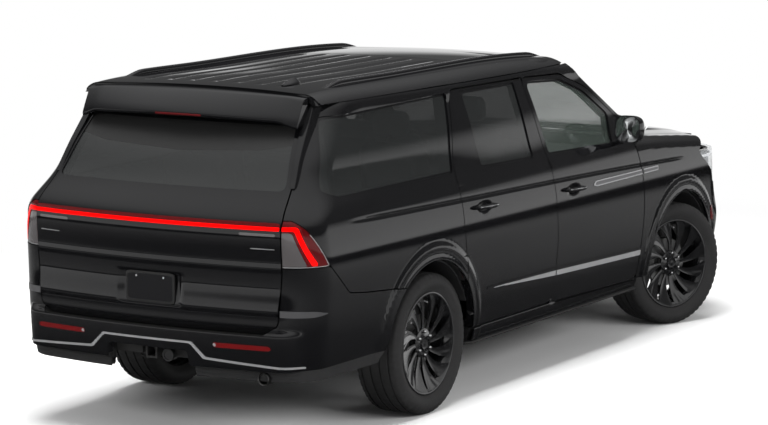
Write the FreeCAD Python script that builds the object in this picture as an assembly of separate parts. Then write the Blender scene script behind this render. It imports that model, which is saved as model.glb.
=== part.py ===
"""Long-wheelbase family SUV, built as an assembly of panels, glass, wheels and running gear.

Millimetres, X forward, Y to the left, Z up. Stations are measured forward from the rear axle and
moved into the part's own frame when a node is written out.
"""
import FreeCAD, Part
import math
import os

V = FreeCAD.Vector

# Layout
REAR_AXLE = -1425.0
WHEELBASE = 3343.0
WHEEL_Y = 853.0
STEERED = 20.8
TYRE_R = 407.5
TYRE_W = 285.0
DISC_AT = 10.0
DISC_T = 28.0
DISC_R = 160.0
SPOKE_AT = 66.0
FRONT_RISE = 198.0
REAR_RISE = 112.0
CLEAR = 5.0
ARM_SPAN = 185.0
ARM_T = 24.0
STRUT_Y = 540.0
STRUT_R = 36.0
FRONT_STRUT_TOP = 760.0
STEERING_AT = (2095.0, 420.0, 1165.0)
COLUMN_TILT = 25.0
COLUMN_R = 30.0
COLUMN_L = 300.0
RAIL_IN = 395.0
RAIL_OUT = 455.0
RAIL_LOW = 445.0
RAIL_HIGH = 545.0
BODY_MOUNTS = (-900.0, 620.0, 1620.0, 2640.0)
SHAFT_Z = 440.0
SHAFT_R = 38.0
FLOOR_Z = 560.0
FLOOR_T = 28.0
FLOOR_HALF = 850.0
SILL_WEB = -834.0
CRADLE_T = 40.0
RAIL_Y = 665.0
ROOF_FIT = 0.6
HITCH_Z = 496.0
HITCH_END = -1345.0
HITCH_IN = 51.0
HITCH_OUT = 64.0
HITCH_PIN = 16.0
HITCH_PIN_AT = 64.0
PIN_ROOM = 90.0
RIM_R = 298.0
RIM_W = 240.0
ARCH_R = 486.0
ARCH_FIT = 3.0
BUMPER_STEP = 46.0
SPOILER_HALF = 700.0
SPOILER_BOW = 0.42
LIGHT_BAR_OUT = 8.0
LIGHT_BAR_LOW = 1206.0
LIGHT_BAR_HIGH = 1248.0
GRILLE_LOW = 802.0
GRILLE_PITCH = 61.0
GRILLE_SLOT = 43.0
GRILLE_ROWS = 5
GRILLE_COLUMNS = 4
GRILLE_BAR = 16.0

# Wall build-up
SHUT = 7.0
DOOR_T = 46.0
POCKET_T = 52.0
FRAME_T = 80.0
TRIM_T = 125.0
JAMB = 30.0
TRIM_CLEAR = 16.0
GLASS_SET = 5.0
GLASS_T = 5.0
GLASS_FIT = 0.3
FENDER_T = 22.0
HOOD_T = 24.0
ROOF_T = 32.0
SCREEN_T = 6.0
BUMPER_T = 34.0
GATE_T = 46.0
FIT = 0.3

# Heights
SILL_Z = 345.0
CANT_Z = 1838.0

# Corner radii of the outer form
REAR_CORNER = 165.0
CANT_R = 90.0
NOSE_CORNER = 250.0
SHOULDER_R = 62.0
SCREEN_R = 40.0

# Angles
DOOR_OPEN = 67.0
HOOD_OPEN = 48.0
GATE_OPEN = 82.0


class Law:
    """A smooth curve through knots (u, v), straight past its ends."""

    def __init__(self, *knots):
        self.u = [k[0] for k in knots]
        self.v = [k[1] for k in knots]
        n = len(knots)
        self.h = [self.u[i + 1] - self.u[i] for i in range(n - 1)]
        diag, rest = [1.0] * n, [0.0] * n
        for i in range(1, n - 1):
            lower = self.h[i - 1] if i > 1 else 0.0
            slope = (self.v[i + 1] - self.v[i]) / self.h[i]
            slope -= (self.v[i] - self.v[i - 1]) / self.h[i - 1]
            factor = lower / diag[i - 1]
            diag[i] = 2.0 * (self.h[i - 1] + self.h[i]) - factor * self.h[i - 1]
            rest[i] = 6.0 * slope - factor * rest[i - 1]
        self.bend = [0.0] * n
        for i in range(n - 2, 0, -1):
            self.bend[i] = (rest[i] - self.h[i] * self.bend[i + 1]) / diag[i]

    def __call__(self, u):
        n = len(self.u)
        if u <= self.u[0]:
            slope = (self.v[1] - self.v[0]) / self.h[0] - self.h[0] * self.bend[1] / 6.0
            return self.v[0] + slope * (u - self.u[0])
        if u >= self.u[-1]:
            slope = (self.v[-1] - self.v[-2]) / self.h[-1] + self.h[-1] * self.bend[-2] / 6.0
            return self.v[-1] + slope * (u - self.u[-1])
        i = max(j for j in range(n - 1) if self.u[j] <= u)
        h = self.h[i]
        a, b = (self.u[i + 1] - u) / h, (u - self.u[i]) / h
        bend = (a ** 3 - a) * self.bend[i] + (b ** 3 - b) * self.bend[i + 1]
        return a * self.v[i] + b * self.v[i + 1] + bend * h * h / 6.0


# Form of the body: half width by height, then centre lines of tail, roof, screen, hood and nose
SECTION = Law((300, 936), (400, 964), (520, 985), (700, 1001), (860, 1008), (1000, 1011),
              (1090, 1008), (1180, 998), (1260, 982), (1345, 959), (1560, 919), (1740, 879),
              (1900, 843))
TAIL = Law((380, -1335), (700, -1350), (900, -1346), (1050, -1352), (1200, -1358), (1255, -1345),
           (1300, -1310), (1386, -1226), (1560, -1100), (1720, -968), (1860, -860))
ROOF = Law((-1100, 1886), (-958, 1901), (0, 1921), (900, 1927), (1700, 1910), (2100, 1876),
           (2400, 1830))
SCREEN = Law((1200, 3080), (1290, 2950), (1600, 2440), (1880, 1990), (1950, 1885))
HOOD = Law((2700, 1352), (2900, 1340), (3300, 1305), (3800, 1253), (4100, 1206), (4230, 1182))
NOSE = Law((300, 4150), (420, 4215), (560, 4245), (680, 4243), (800, 4200), (924, 4158),
           (1060, 4145), (1160, 4140), (1260, 4130))
ROOF_END = 2000.0
BOW = 9.0 / 1500.0 ** 2
BOW_MID = 1400.0
TAIL_CROWN = 105e-6
ROOF_CROWN = 39e-6
SCREEN_CROWN = 125e-6
HOOD_CROWN = 62e-6
NOSE_CROWN = 130e-6


def ease(u, low, high):
    t = min(1.0, max(0.0, (u - low) / (high - low)))
    return t * t * (3.0 - 2.0 * t)


def half_width(x, z):
    lean = ease(z, 1250, 1500) * (46.0 * ease(900.0 - x, 0, 2100) + 30.0 * ease(x, 1200, 2600))
    return SECTION(z) - BOW * (x - BOW_MID) ** 2 - lean


def meet(a, b, radius):
    """Inside of both fields, with their common edge rounded."""
    corner = math.hypot(max(a + radius, 0.0), max(b + radius, 0.0))
    return min(max(a, b), -radius) + corner


def unit_slope(law, z):
    return 1.0 / math.hypot(1.0, (law(z + 5.0) - law(z - 5.0)) / 10.0)


def tail_field(y, z, x):
    return (TAIL(z) + TAIL_CROWN * y * y - x) * unit_slope(TAIL, z)


def roof_field(x, y, z):
    return z - ROOF(x) + ROOF_CROWN * y * y


def cabin_field(x, y, z):
    """Negative inside the body behind the screen."""
    walls = meet(abs(y) - half_width(x, z), tail_field(y, z, x), REAR_CORNER)
    return meet(walls, roof_field(min(x, ROOF_END), y, z), CANT_R)


def top_field(x, y, z):
    """Negative under the roof, between the sides and behind the screen, with no tail."""
    walls = meet(abs(y) - half_width(x, z), roof_field(x, y, z), CANT_R)
    return meet(walls, screen_field(x, y, z), SCREEN_R)


def screen_field(x, y, z):
    return (x - SCREEN(z) + SCREEN_CROWN * y * y) * unit_slope(SCREEN, z)


def front_field(x, y, z):
    """Negative inside the front body: fenders, hood and nose."""
    top = z - HOOD(x) + HOOD_CROWN * y * y
    nose = (x - NOSE(z) + NOSE_CROWN * y * y) * unit_slope(NOSE, z)
    walls = meet(abs(y) - half_width(x, z), nose, NOSE_CORNER)
    return meet(walls, top, SHOULDER_R)


def hit(field, origin, way, reach):
    """Distance from a point inside to the field's surface."""
    low, high = 0.0, reach
    for _ in range(34):
        mid = 0.5 * (low + high)
        point = origin + way * mid
        if field(point.x, point.y, point.z) < 0.0:
            low = mid
        else:
            high = mid
    return origin + way * low


def outward(field, p):
    e = 1.0
    slope = V(field(p.x + e, p.y, p.z) - field(p.x - e, p.y, p.z),
              field(p.x, p.y + e, p.z) - field(p.x, p.y - e, p.z),
              field(p.x, p.y, p.z + e) - field(p.x, p.y, p.z - e))
    return slope.normalize()


def run(rows):
    """Parameters along rows of points, from the mean distance between neighbours."""
    out = [0.0]
    for i in range(1, len(rows[0])):
        out.append(out[-1] + sum((row[i] - row[i - 1]).Length for row in rows) / len(rows))
    return out


def through(rows):
    """Smooth surface through a grid of points."""
    across, up = run(rows), run(list(zip(*rows)))
    lines = []
    for row in rows:
        line = Part.BSplineCurve()
        line.interpolate(Points=list(row), Parameters=across)
        lines.append(line)
    poles = []
    for column in zip(*[line.getPoles() for line in lines]):
        post = Part.BSplineCurve()
        post.interpolate(Points=list(column), Parameters=up)
        poles.append(post.getPoles())
    surface = Part.BSplineSurface()
    surface.buildFromPolesMultsKnots(poles, lines[0].getMultiplicities(), post.getMultiplicities(),
                                     lines[0].getKnots(), post.getKnots(), False, False,
                                     lines[0].Degree, post.Degree)
    return surface


class Skin:
    """Points of an outer surface with their normals, from which slabs of any depth are made."""

    def __init__(self, field, rays):
        self.points = [[hit(field, *ray) for ray in row] for row in rays]
        self.normals = [[outward(field, p) for p in row] for row in self.points]

    def surface(self, depth):
        return through([[p - n * depth for p, n in zip(row, ways)]
                        for row, ways in zip(self.points, self.normals)])

    def slab(self, start, end):
        """Solid between two depths below the outer surface."""
        near, far = self.surface(start), self.surface(end)
        faces = [near.toShape(), far.toShape()]
        u0, u1, v0, v1 = near.bounds()
        w0, w1, t0, t1 = far.bounds()
        pairs = ((near.uIso(u0), far.uIso(w0)), (near.uIso(u1), far.uIso(w1)),
                 (near.vIso(v0), far.vIso(t0)), (near.vIso(v1), far.vIso(t1)))
        for a, b in pairs:
            faces.append(Part.makeRuledSurface(a.toShape(), b.toShape()))
        shell = Part.Shell(faces)
        shell.sewShape()
        solid = Part.Solid(shell)
        if solid.Volume < 0:
            solid.reverse()
        return solid


def spread(*spans):
    """Stations from (start, end, count) spans, each without its end but the last."""
    out = []
    for start, end, count in spans:
        out += [start + (end - start) * i / count for i in range(count)]
    return out + [spans[-1][1]]


def flank_rays(z):
    """Rays at one height: across the tail, round the rear corner and along the right side."""
    core = V(TAIL(z) + TAIL_CROWN * 700 ** 2 + 240.0, 0, z)
    core.y = 230.0 - half_width(core.x, z)
    rays = [(V(core.x, y, z), V(-1, 0, 0), 500.0) for y in (core.y + 120.0, core.y + 60.0)]
    for i in range(7):
        turn = math.radians(90.0 * i / 6.0)
        rays.append((core, V(-math.cos(turn), -math.sin(turn), 0), 600.0))
    count = 8
    for i in range(1, count + 1):
        x = core.x + (3000.0 - core.x) * (i / count) ** 1.15
        rays.append((V(x, core.y + 150.0, z), V(0, -1, 0), 700.0))
    return rays


def flank_skin():
    heights = spread((300, 1200, 5), (1200, 1420, 3), (1420, 1760, 3), (1760, CANT_Z, 3))
    return Skin(cabin_field, [flank_rays(z) for z in heights])


def tail_skin():
    rows = []
    heights = spread((370, 1160, 5), (1160, 1420, 4), (1420, 1780, 3), (1780, 1850, 2))
    for z in heights:
        core = V(TAIL(z) + 700.0, 0, z)
        turns = [-108, -94, -82, -72, -67, -63, -59, -55, -50, -40, -22]
        turns = turns + [0] + [-t for t in reversed(turns)]
        rows.append([(core, V(-math.cos(math.radians(t)), math.sin(math.radians(t)), 0), 1500.0)
                     for t in turns])
    return Skin(cabin_field, rows)


def roof_skin():
    rows = []
    for x in spread((-900, 1900, 5), (1900, 2140, 5)):
        core = V(x, 0, 1250)
        turns = [-57, -53, -50.5, -48, -45, -39, -22]
        turns = turns + [0] + [-t for t in reversed(turns)]
        rows.append([(core, V(0, math.sin(math.radians(t)), math.cos(math.radians(t))), 1500.0)
                     for t in turns])
    return Skin(top_field, rows)


def fender_skin():
    rows = []
    for x in spread((2640, 3940, 7)):
        core = V(x, -560, 1050)
        turns = [-62, -40, -18, 2, 14, 21, 27, 34, 46, 70]
        rows.append([(core, V(0, -math.cos(math.radians(t)), math.sin(math.radians(t))), 1500.0)
                     for t in turns])
    return Skin(front_field, rows)


def hood_skin():
    rows = []
    for i in range(10):
        u = i / 9.0
        row = []
        for j in range(-6, 7):
            v = j / 6.0
            way = V(1.1 * u ** 6, 1.15 * v * abs(v) ** 3, 1.0).normalize()
            row.append((V(2800 + 1050 * u, 560 * v, 950), way, 900.0))
        rows.append(row)
    return Skin(front_field, rows)


def nose_skin():
    rows = []
    for z in spread((310, 1190, 9)):
        core = V(3400, 0, z)
        turns = [-72, -65, -59, -53, -47, -40, -28, -14]
        turns = turns + [0] + [-t for t in reversed(turns)]
        rows.append([(core, V(math.cos(math.radians(t)), math.sin(math.radians(t)), 0), 1500.0)
                     for t in turns])
    return Skin(front_field, rows)


def screen_skin():
    rows = []
    for z in spread((1230, 1900, 5)):
        rows.append([(V(SCREEN(z) - 500.0, y, z), V(1, 0, 0), 900.0)
                     for y in spread((-900, 900, 6))])
    return Skin(screen_field, rows)


def rounded(corners):
    """Closed outline from (a, b, radius) corners, as edges in the XY plane."""
    n = len(corners)
    cuts = []
    for i in range(n):
        here = V(corners[i][0], corners[i][1], 0)
        before = V(corners[i - 1][0], corners[i - 1][1], 0)
        after = V(corners[(i + 1) % n][0], corners[(i + 1) % n][1], 0)
        radius = corners[i][2] if len(corners[i]) > 2 else 0.0
        back, on = (before - here).normalize(), (after - here).normalize()
        angle = math.acos(max(-1.0, min(1.0, back.dot(on))))
        if radius <= 0.0 or math.pi - angle < 1e-4:
            cuts.append((here, here, here))
            continue
        run = radius / math.tan(angle / 2.0)
        limit = 0.49 * min((before - here).Length, (after - here).Length)
        if run > limit:
            run, radius = limit, limit * math.tan(angle / 2.0)
        axis = (back + on).normalize()
        centre = here + axis * (radius / math.sin(angle / 2.0))
        cuts.append((here + back * run, centre - axis * radius, here + on * run))
    edges = []
    for i in range(n):
        start, middle, end = cuts[i]
        if (end - start).Length > 1e-6:
            edges.append(Part.Arc(start, middle, end).toShape())
        follow = cuts[(i + 1) % n][0]
        if (follow - end).Length > 1e-6:
            edges.append(Part.LineSegment(end, follow).toShape())
    return Part.Wire(edges)


def stand(shape, axis):
    """Turn a flat outline so that its (a, b) lie in the plane across the axis."""
    turned = shape.copy()
    if axis == "y":
        turned.rotate(V(0, 0, 0), V(1, 0, 0), 90)
    elif axis == "x":
        turned.rotate(V(0, 0, 0), V(1, 1, 1), 120)
    return turned


def prism(corners, axis, low, high, grow=0.0):
    """Outline pushed along an axis: (x, z) across y, (y, z) across x, (x, y) across z."""
    face = Part.Face(corners if isinstance(corners, Part.Wire) else rounded(corners))
    if abs(grow) > 1e-6:
        face = face.makeOffset2D(grow)
        face = Part.Face(face.Wires[0]) if face.ShapeType != "Face" else face
    face = stand(face, axis)
    way = {"x": V(1, 0, 0), "y": V(0, 1, 0), "z": V(0, 0, 1)}[axis]
    face.translate(way * low)
    return face.extrude(way * (high - low))


def box(x0, x1, y0, y1, z0, z1):
    return Part.makeBox(x1 - x0, y1 - y0, z1 - z0, V(x0, y0, z0))


def tube(p, q, radius):
    return Part.makeCylinder(radius, (q - p).Length, p, q - p)


def both(shape):
    """The shape and its mirror image across the centre plane."""
    return [shape, mirrored(shape)]


def mirrored(shape):
    return shape.mirror(V(0, 0, 0), V(0, 1, 0))


def revolved(profile, centre, axis=V(0, 1, 0)):
    """Ring from (axial, radius) points turned about a line along Y through the centre."""
    wire = Part.makePolygon([V(0, a, r) for a, r in profile + profile[:1]])
    ring = Part.Face(wire).revolve(V(0, 0, 0), axis, 360)
    ring.translate(centre)
    return ring


RIGHT = (-1400.0, -300.0)
QUARTER_IN = -735.0

MIDDLE_SHUT = [(1508, 424, 50), (1466, 1262, 300), (1286, 1812, 30)]
FRONT_DOOR = MIDDLE_SHUT + [(1800, 1794, 300), (2130, 1690, 600), (2560, 1432, 140),
                            (2662, 1230, 300), (2752, 900, 900), (2697, 394, 50)]
REAR_DOOR = MIDDLE_SHUT + [(424, 1814, 40), (322, 1352, 500), (344, 1060, 500), (376, 856, 300),
                           (376, 600, 0), (480, 424, 0)]
FRONT_PANE = [(1484, 1332, 22), (1337, 1788, 40), (1800, 1762, 260), (2095, 1664, 500),
              (2392, 1494, 40), (2345, 1306, 20)]
REAR_PANE = [(640, 1346, 22), (552, 1796, 26), (1186, 1794, 26), (1278, 1334, 22)]
QUARTER_PANE = [(306, 1352, 24), (385, 1802, 30), (-836, 1772, 60), (-1030, 1392, 40),
                (-970, 1366, 60), (-890, 1344, 90)]
FRAME_OUTLINE = [(2800, SILL_Z, 30), (2800, 1240, 40), (2860, 1300, 10), (1950, 1904, 0),
                 (-1600, 1904, 0), (-1600, SILL_Z, 0)]
ROOF_SIDE = [(-862, CANT_Z + FIT, 0), (1970, CANT_Z + FIT, 0), (2016, 1856, 0), (2080, 1920, 0),
             (2060, 2000, 0), (-862, 2000, 0)]
GATE_OUTLINE = [(-729, 645, 60), (-785, 700, 60), (-809, 980, 400), (-808, 1265, 60),
                (-779, 1386, 500), (-700, 1836, 10), (700, 1836, 10), (779, 1386, 500),
                (808, 1265, 60), (809, 980, 400), (785, 700, 60), (729, 645, 60)]
DOOR_STOPS = [(1502, 985), (2708, 985), (2694, 560), (1469, 985), (1474, 560), (355, 985)]
NOSE_SEAM = 3862.0
NOSE_FIT = 0.8
GRILLE_HALF = 600.0
GRILLE_OUTLINE = [(-560, 760, 60), (-GRILLE_HALF, 1120, 40), (GRILLE_HALF, 1120, 40),
                  (560, 760, 60)]
LAMP_EDGE = [(3600, 1128, 20), (3812, 980, 40), (3850, 890, 30)]
GATE_GLASS = [(-748, 1398, 30), (-672, 1728, 30), (672, 1728, 30), (748, 1398, 30)]
SEAM = [(-1092, 1012, 6), (-894, 838, 40), (-732, 816, 300), (-460, 792, 0), (-150, 760, 0)]
HOOD_OUTLINE = [(2858, -850, 40), (2934, 0, 3000), (2858, 850, 40), (3600, 838, 900),
                (4020, 770, 200), (4128, 560, 300), (4150, 0, 3000), (4128, -560, 300),
                (4020, -770, 200), (3600, -838, 900)]


def arch_cut(x, radius, low, high):
    """Wheel opening with straight sides below the axle."""
    disc = Part.makeCylinder(radius, high - low, V(x, low, TYRE_R), V(0, 1, 0))
    skirt = box(x - radius + 12, x + radius - 12, low, high, 100, TYRE_R)
    return disc.fuse(skirt)


def side_frame(flank, screen, wing):
    shape = flank.slab(0, FRAME_T).common(prism(FRAME_OUTLINE, "y", *RIGHT))
    outer = flank.slab(-15.0, POCKET_T)
    for door in (FRONT_DOOR, REAR_DOOR):
        shape = shape.cut(outer.common(prism(door, "y", *RIGHT, grow=SHUT / 2)))
        shape = shape.cut(prism(door, "y", *RIGHT, grow=-JAMB))
    ahead = [(2690, 200, 0), (2694, 394, 0), (2744, 900, 900), (2658, 1234, 0), (2650, 1262, 0),
             (3000, 1359, 0), (3000, 200, 0)]
    shape = shape.cut(outer.common(prism(ahead, "y", *RIGHT)))
    shape = shape.cut(wing.slab(-40.0, FENDER_T + 2 * FIT).common(prism(ahead, "y", *RIGHT)))
    shape = shape.cut(prism(QUARTER_PANE, "y", RIGHT[0], QUARTER_IN))
    shape = shape.cut(arch_cut(0, ARCH_R, *RIGHT))
    tail = [(-1600, 300, 0), (-1600, 1012, 0)] + SEAM + [(-150, 300, 0)]
    shape = shape.cut(prism(tail, "y", *RIGHT, grow=SHUT / 2))
    shape = shape.cut(prism(GATE_OUTLINE, "x", -1700, -500, grow=SHUT / 2))
    shape = shape.cut(screen.slab(-300.0, SCREEN_T + FIT))
    deep = flank.slab(DOOR_T + FIT, FRAME_T - 6)
    for x, z in DOOR_STOPS:
        shape = shape.fuse(deep.common(box(x, x + 20, *RIGHT, z, z + 30)))
    return shape.removeSplitter()


def lamp_zone():
    side = [(-1600, 1012, 0), (-1092, 1012, 0), (-1216, 1215, 30), (-1252, 1262, 0), (-1600, 1262, 0)]
    return prism(side, "y", *RIGHT)


def door(flank, outline, pane):
    """Door with its inner trim below the belt and its window cut out."""
    shape = flank.slab(0, DOOR_T).common(prism(outline, "y", *RIGHT, grow=-SHUT / 2))
    low = prism(outline, "y", *RIGHT, grow=-JAMB - TRIM_CLEAR)
    low = low.common(box(-500, 3200, RIGHT[0], RIGHT[1], 0, 1286))
    shape = shape.fuse(flank.slab(DOOR_T - 4, TRIM_T).common(low))
    shape = shape.cut(arch_cut(0, ARCH_R + ARCH_FIT, *RIGHT))
    return shape.cut(prism(pane, "y", *RIGHT)).removeSplitter()


def pane(flank, outline):
    glass = flank.slab(GLASS_SET, GLASS_SET + GLASS_T)
    return glass.common(prism(outline, "y", RIGHT[0], QUARTER_IN - GLASS_FIT, grow=-GLASS_FIT))


def fender(skin):
    shape = skin.slab(0, FENDER_T)
    hood = prism(HOOD_OUTLINE, "z", 900, 1500, grow=SHUT / 2)
    shape = shape.cut(hood).cut(box(2600, 2900, -850 - SHUT / 2, 0, 900, 1500))
    side = [(2697 + SHUT, 394, 0), (2752 + SHUT, 900, 900), (2662 + SHUT, 1234, 200),
            (2660, 1260, 10), (2950, 1340, 0), (3900, 1340, 0)] + LAMP_EDGE + [
            (NOSE_SEAM, 760, 60), (NOSE_SEAM, 380, 0)]
    shape = shape.common(prism(side, "y", *RIGHT))
    return shape.cut(arch_cut(WHEELBASE, ARCH_R, *RIGHT))


def hood_panel(skin):
    return skin.slab(0, HOOD_T).common(prism(HOOD_OUTLINE, "z", 900, 1500, grow=-SHUT / 2))


def roof_panel(skin):
    shape = skin.slab(0, ROOF_T)
    return shape.common(prism(ROOF_SIDE, "y", -1000, 1000))


def bumper_step(skin):
    """Ledge that stands out along the rear bumper and runs out at its corners."""
    side = [(-1700, 462, 0), (-1700, 590, 0), (-1300, 668, 0), (-1000, 668, 0), (-1000, 462, 0)]
    plan = [(-1500, -640, 0), (-1500, 640, 0), (-1240, 860, 0), (-1100, 860, 0),
            (-1100, -860, 0), (-1240, -860, 0)]
    step = skin.slab(-BUMPER_STEP, 1).common(prism(side, "y", -900, 900))
    return step.common(prism(plan, "z", 400, 700))


def light_bar(skin):
    """Slim lamp that stands on the tailgate from side to side."""
    end = 798
    outline = [(-end, LIGHT_BAR_LOW, 12), (-end, LIGHT_BAR_HIGH, 12), (end, LIGHT_BAR_HIGH, 12),
               (end, LIGHT_BAR_LOW, 12)]
    return skin.slab(-LIGHT_BAR_OUT, -FIT).common(prism(outline, "x", -1700, -1100))


def rear_bumper(skin):
    shape = skin.slab(0, BUMPER_T).fuse(bumper_step(skin))
    side = [(-1700, 395, 0), (-1700, 1008, 0)] + SEAM + [(-450, 500, 0), (-560, 384, 30)]
    shape = shape.common(prism(side, "y", -1400, 1400, grow=-SHUT / 2))
    shape = shape.cut(prism(GATE_OUTLINE, "x", -1700, -500, grow=SHUT / 2))
    top = HITCH_Z + HITCH_OUT / 2 + CLEAR
    opening = [(-300, 300, 0), (-262, top, 20), (262, top, 20), (300, 300, 0)]
    shape = shape.cut(prism(opening, "x", -1700, -1000))
    return shape.cut(arch_cut(0, ARCH_R + 60, -1400, 1400))


def tailgate(skin):
    shape = skin.slab(0, GATE_T).common(prism(GATE_OUTLINE, "x", -1700, -500, grow=-SHUT / 2))
    return shape.cut(prism(GATE_GLASS, "x", -1700, -500))


def front_bumper(skin):
    """Bumper skin, up to the lamps at its corners, open for the grille."""
    shape = skin.slab(0, BUMPER_T)
    side = [(NOSE_SEAM + SHUT, 300, 0), (NOSE_SEAM + SHUT, 760, 60), (3850 + SHUT, 886, 0),
            (4300, 886, 0), (4300, 330, 0)]
    shape = shape.common(prism(side, "y", -1400, 1400))
    shape = shape.cut(prism(GRILLE_OUTLINE, "x", 3700, 4400, grow=FIT))
    return shape.cut(arch_cut(WHEELBASE, ARCH_R, -1400, 1400))


def grille(skin):
    """Grille with rows of slots between its bars."""
    shape = skin.slab(2, BUMPER_T).common(prism(GRILLE_OUTLINE, "x", 3700, 4400))
    half = GRILLE_HALF - 70
    width = (2 * half - (GRILLE_COLUMNS - 1) * GRILLE_BAR) / GRILLE_COLUMNS
    slots = []
    for row in range(GRILLE_ROWS):
        z = GRILLE_LOW + row * GRILLE_PITCH
        for column in range(GRILLE_COLUMNS):
            y = -half + column * (width + GRILLE_BAR)
            slots.append(box(3700, 4400, y, y + width, z, z + GRILLE_SLOT))
    return shape.cut(slots)


def headlamp(skin):
    """Lamp block at the right front corner, between fender, bumper and grille."""
    side = [(3600 + SHUT, 1128 - 2, 20), (3812 + SHUT, 980, 40), (3850 + SHUT, 893, 0),
            (4300, 893, 0), (4300, 1126, 0)]
    zone = prism(side, "y", *RIGHT).common(box(3500, 4400, -1100, -GRILLE_HALF - SHUT, 800, 1200))
    return skin.slab(3, 60).common(zone)


NODES = {}


def keep(name, *solids):
    NODES[name] = solids[0] if len(solids) == 1 else Part.makeCompound(list(solids))


def wheel_ring(profile, x, side):
    """Ring about a wheel's axle from (outward, radius) points."""
    return revolved([(side * a, r) for a, r in profile], V(x, side * WHEEL_Y, TYRE_R))


def wheel_parts(x, side):
    """Tyre and rim with its brake disc, upright, facing out on the given side."""
    half = TYRE_W / 2
    tyre = wheel_ring([(-half + 20, RIM_R - 6), (-half, 350), (-half + 30, TYRE_R),
                       (half - 30, TYRE_R), (half, 350), (half - 20, RIM_R - 6)], x, side)
    rim = wheel_ring([(-RIM_W / 2, RIM_R - 6.3), (-RIM_W / 2, RIM_R - 24),
                      (RIM_W / 2, RIM_R - 24), (RIM_W / 2, RIM_R - 6.3)], x, side)
    hub = wheel_ring([(DISC_AT, 0), (DISC_AT, DISC_R), (DISC_AT + DISC_T, DISC_R),
                      (DISC_AT + DISC_T, 80), (SPOKE_AT, 80), (SPOKE_AT, 88),
                      (SPOKE_AT + 44, 88), (SPOKE_AT + 44, 0)], x, side)
    rim = rim.fuse(hub)
    for i in range(12):
        blade = prism([(60, -12, 0), (RIM_R - 15, -34, 0), (RIM_R - 15, 26, 0), (60, 12, 0)],
                      "y", 0, 26)
        blade.rotate(V(0, 0, 0), V(0, 1, 0), 30 * i)
        low = WHEEL_Y + SPOKE_AT + 10
        blade.translate(V(x, low if side > 0 else -low - 26, TYRE_R))
        rim = rim.fuse(blade)
    return tyre, rim.removeSplitter()


def steer(shape, side):
    turned = shape.copy()
    turned.rotate(V(WHEELBASE, side * WHEEL_Y, 0), V(0, 0, 1), -STEERED)
    return turned


def slab_between(x0, x1, y0, y1, z0, z1, side):
    low, high = sorted((side * y0, side * y1))
    return box(x0, x1, low, high, z0, z1)


def knuckle(x, side, rise, ball_y):
    """Hub carrier with its ball joint bosses and brake caliper."""
    shape = wheel_ring([(-80, 0), (-80, 62), (DISC_AT - FIT, 62), (DISC_AT - FIT, 0)], x, side)
    post = slab_between(x - 30, x + 30, WHEEL_Y - 78, WHEEL_Y - 44, TYRE_R - rise,
                        TYRE_R + rise, side)
    shape = shape.fuse(post)
    for low in (TYRE_R - rise, TYRE_R + rise - 30):
        boss = Part.makeCylinder(30, 30, V(x, side * ball_y, low))
        arm = slab_between(x - 24, x + 24, WHEEL_Y - 76, ball_y, low, low + 30, side)
        shape = shape.fuse(boss).fuse(arm)
    grip = slab_between(x - 215, x - 40, WHEEL_Y - 26, WHEEL_Y + DISC_AT - CLEAR, TYRE_R - 60,
                        TYRE_R + 60, side)
    bridge = slab_between(x - 215, x - 130, WHEEL_Y - 26, WHEEL_Y + DISC_AT + DISC_T + 24,
                          TYRE_R - 60, TYRE_R + 60, side)
    disc = wheel_ring([(-60, 0), (-60, 1), (DISC_AT - CLEAR, 1), (DISC_AT - CLEAR, DISC_R + 7),
                       (DISC_AT + DISC_T + CLEAR, DISC_R + 7), (DISC_AT + DISC_T + CLEAR, 0)],
                      x, side)
    return shape.fuse(grip).fuse(bridge.cut(disc)).removeSplitter()


def control_arm(x, side, low, high, ball_y, ahead, hollow):
    """Flat wishbone from the chassis frame out to the ball joint."""
    foot = RAIL_OUT + FIT
    points = [(x - 26, ball_y), (x - 60, 642), (x - ARM_SPAN, foot), (x + ahead, foot),
              (x + min(60, ahead), 642), (x + 26, ball_y)]
    plate = prism([(a, side * b, 0) for a, b in points], "z", low, high)
    plate = plate.fuse(Part.makeCylinder(32, high - low, V(x, side * ball_y, low)))
    if hollow:
        gap = [(x - ARM_SPAN + 46, foot + 24), (x - 34, 640), (x + 34, 640),
               (x + ARM_SPAN - 46, foot + 24)]
        plate = plate.cut(prism([(a, side * b, 0) for a, b in gap], "z", low - 1, high + 1))
    return plate.removeSplitter()


def suspension(x, side, rise, ball_y, strut_x, strut_top):
    """Lower and upper arms with the spring strut standing on the lower one."""
    base = TYRE_R - rise - FIT
    top = TYRE_R + rise + FIT
    lower = control_arm(x, side, base - ARM_T, base, ball_y, ARM_SPAN, False)
    if strut_x > 0.0:
        upper = control_arm(x, side, top, top + ARM_T, ball_y, strut_x - STRUT_R - CLEAR, False)
    else:
        upper = control_arm(x, side, top, top + ARM_T, ball_y, ARM_SPAN, True)
    foot = V(x + strut_x, side * STRUT_Y, base - 1)
    strut = tube(foot, V(foot.x, foot.y, strut_top), STRUT_R)
    return [lower.fuse(strut), upper]


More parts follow.
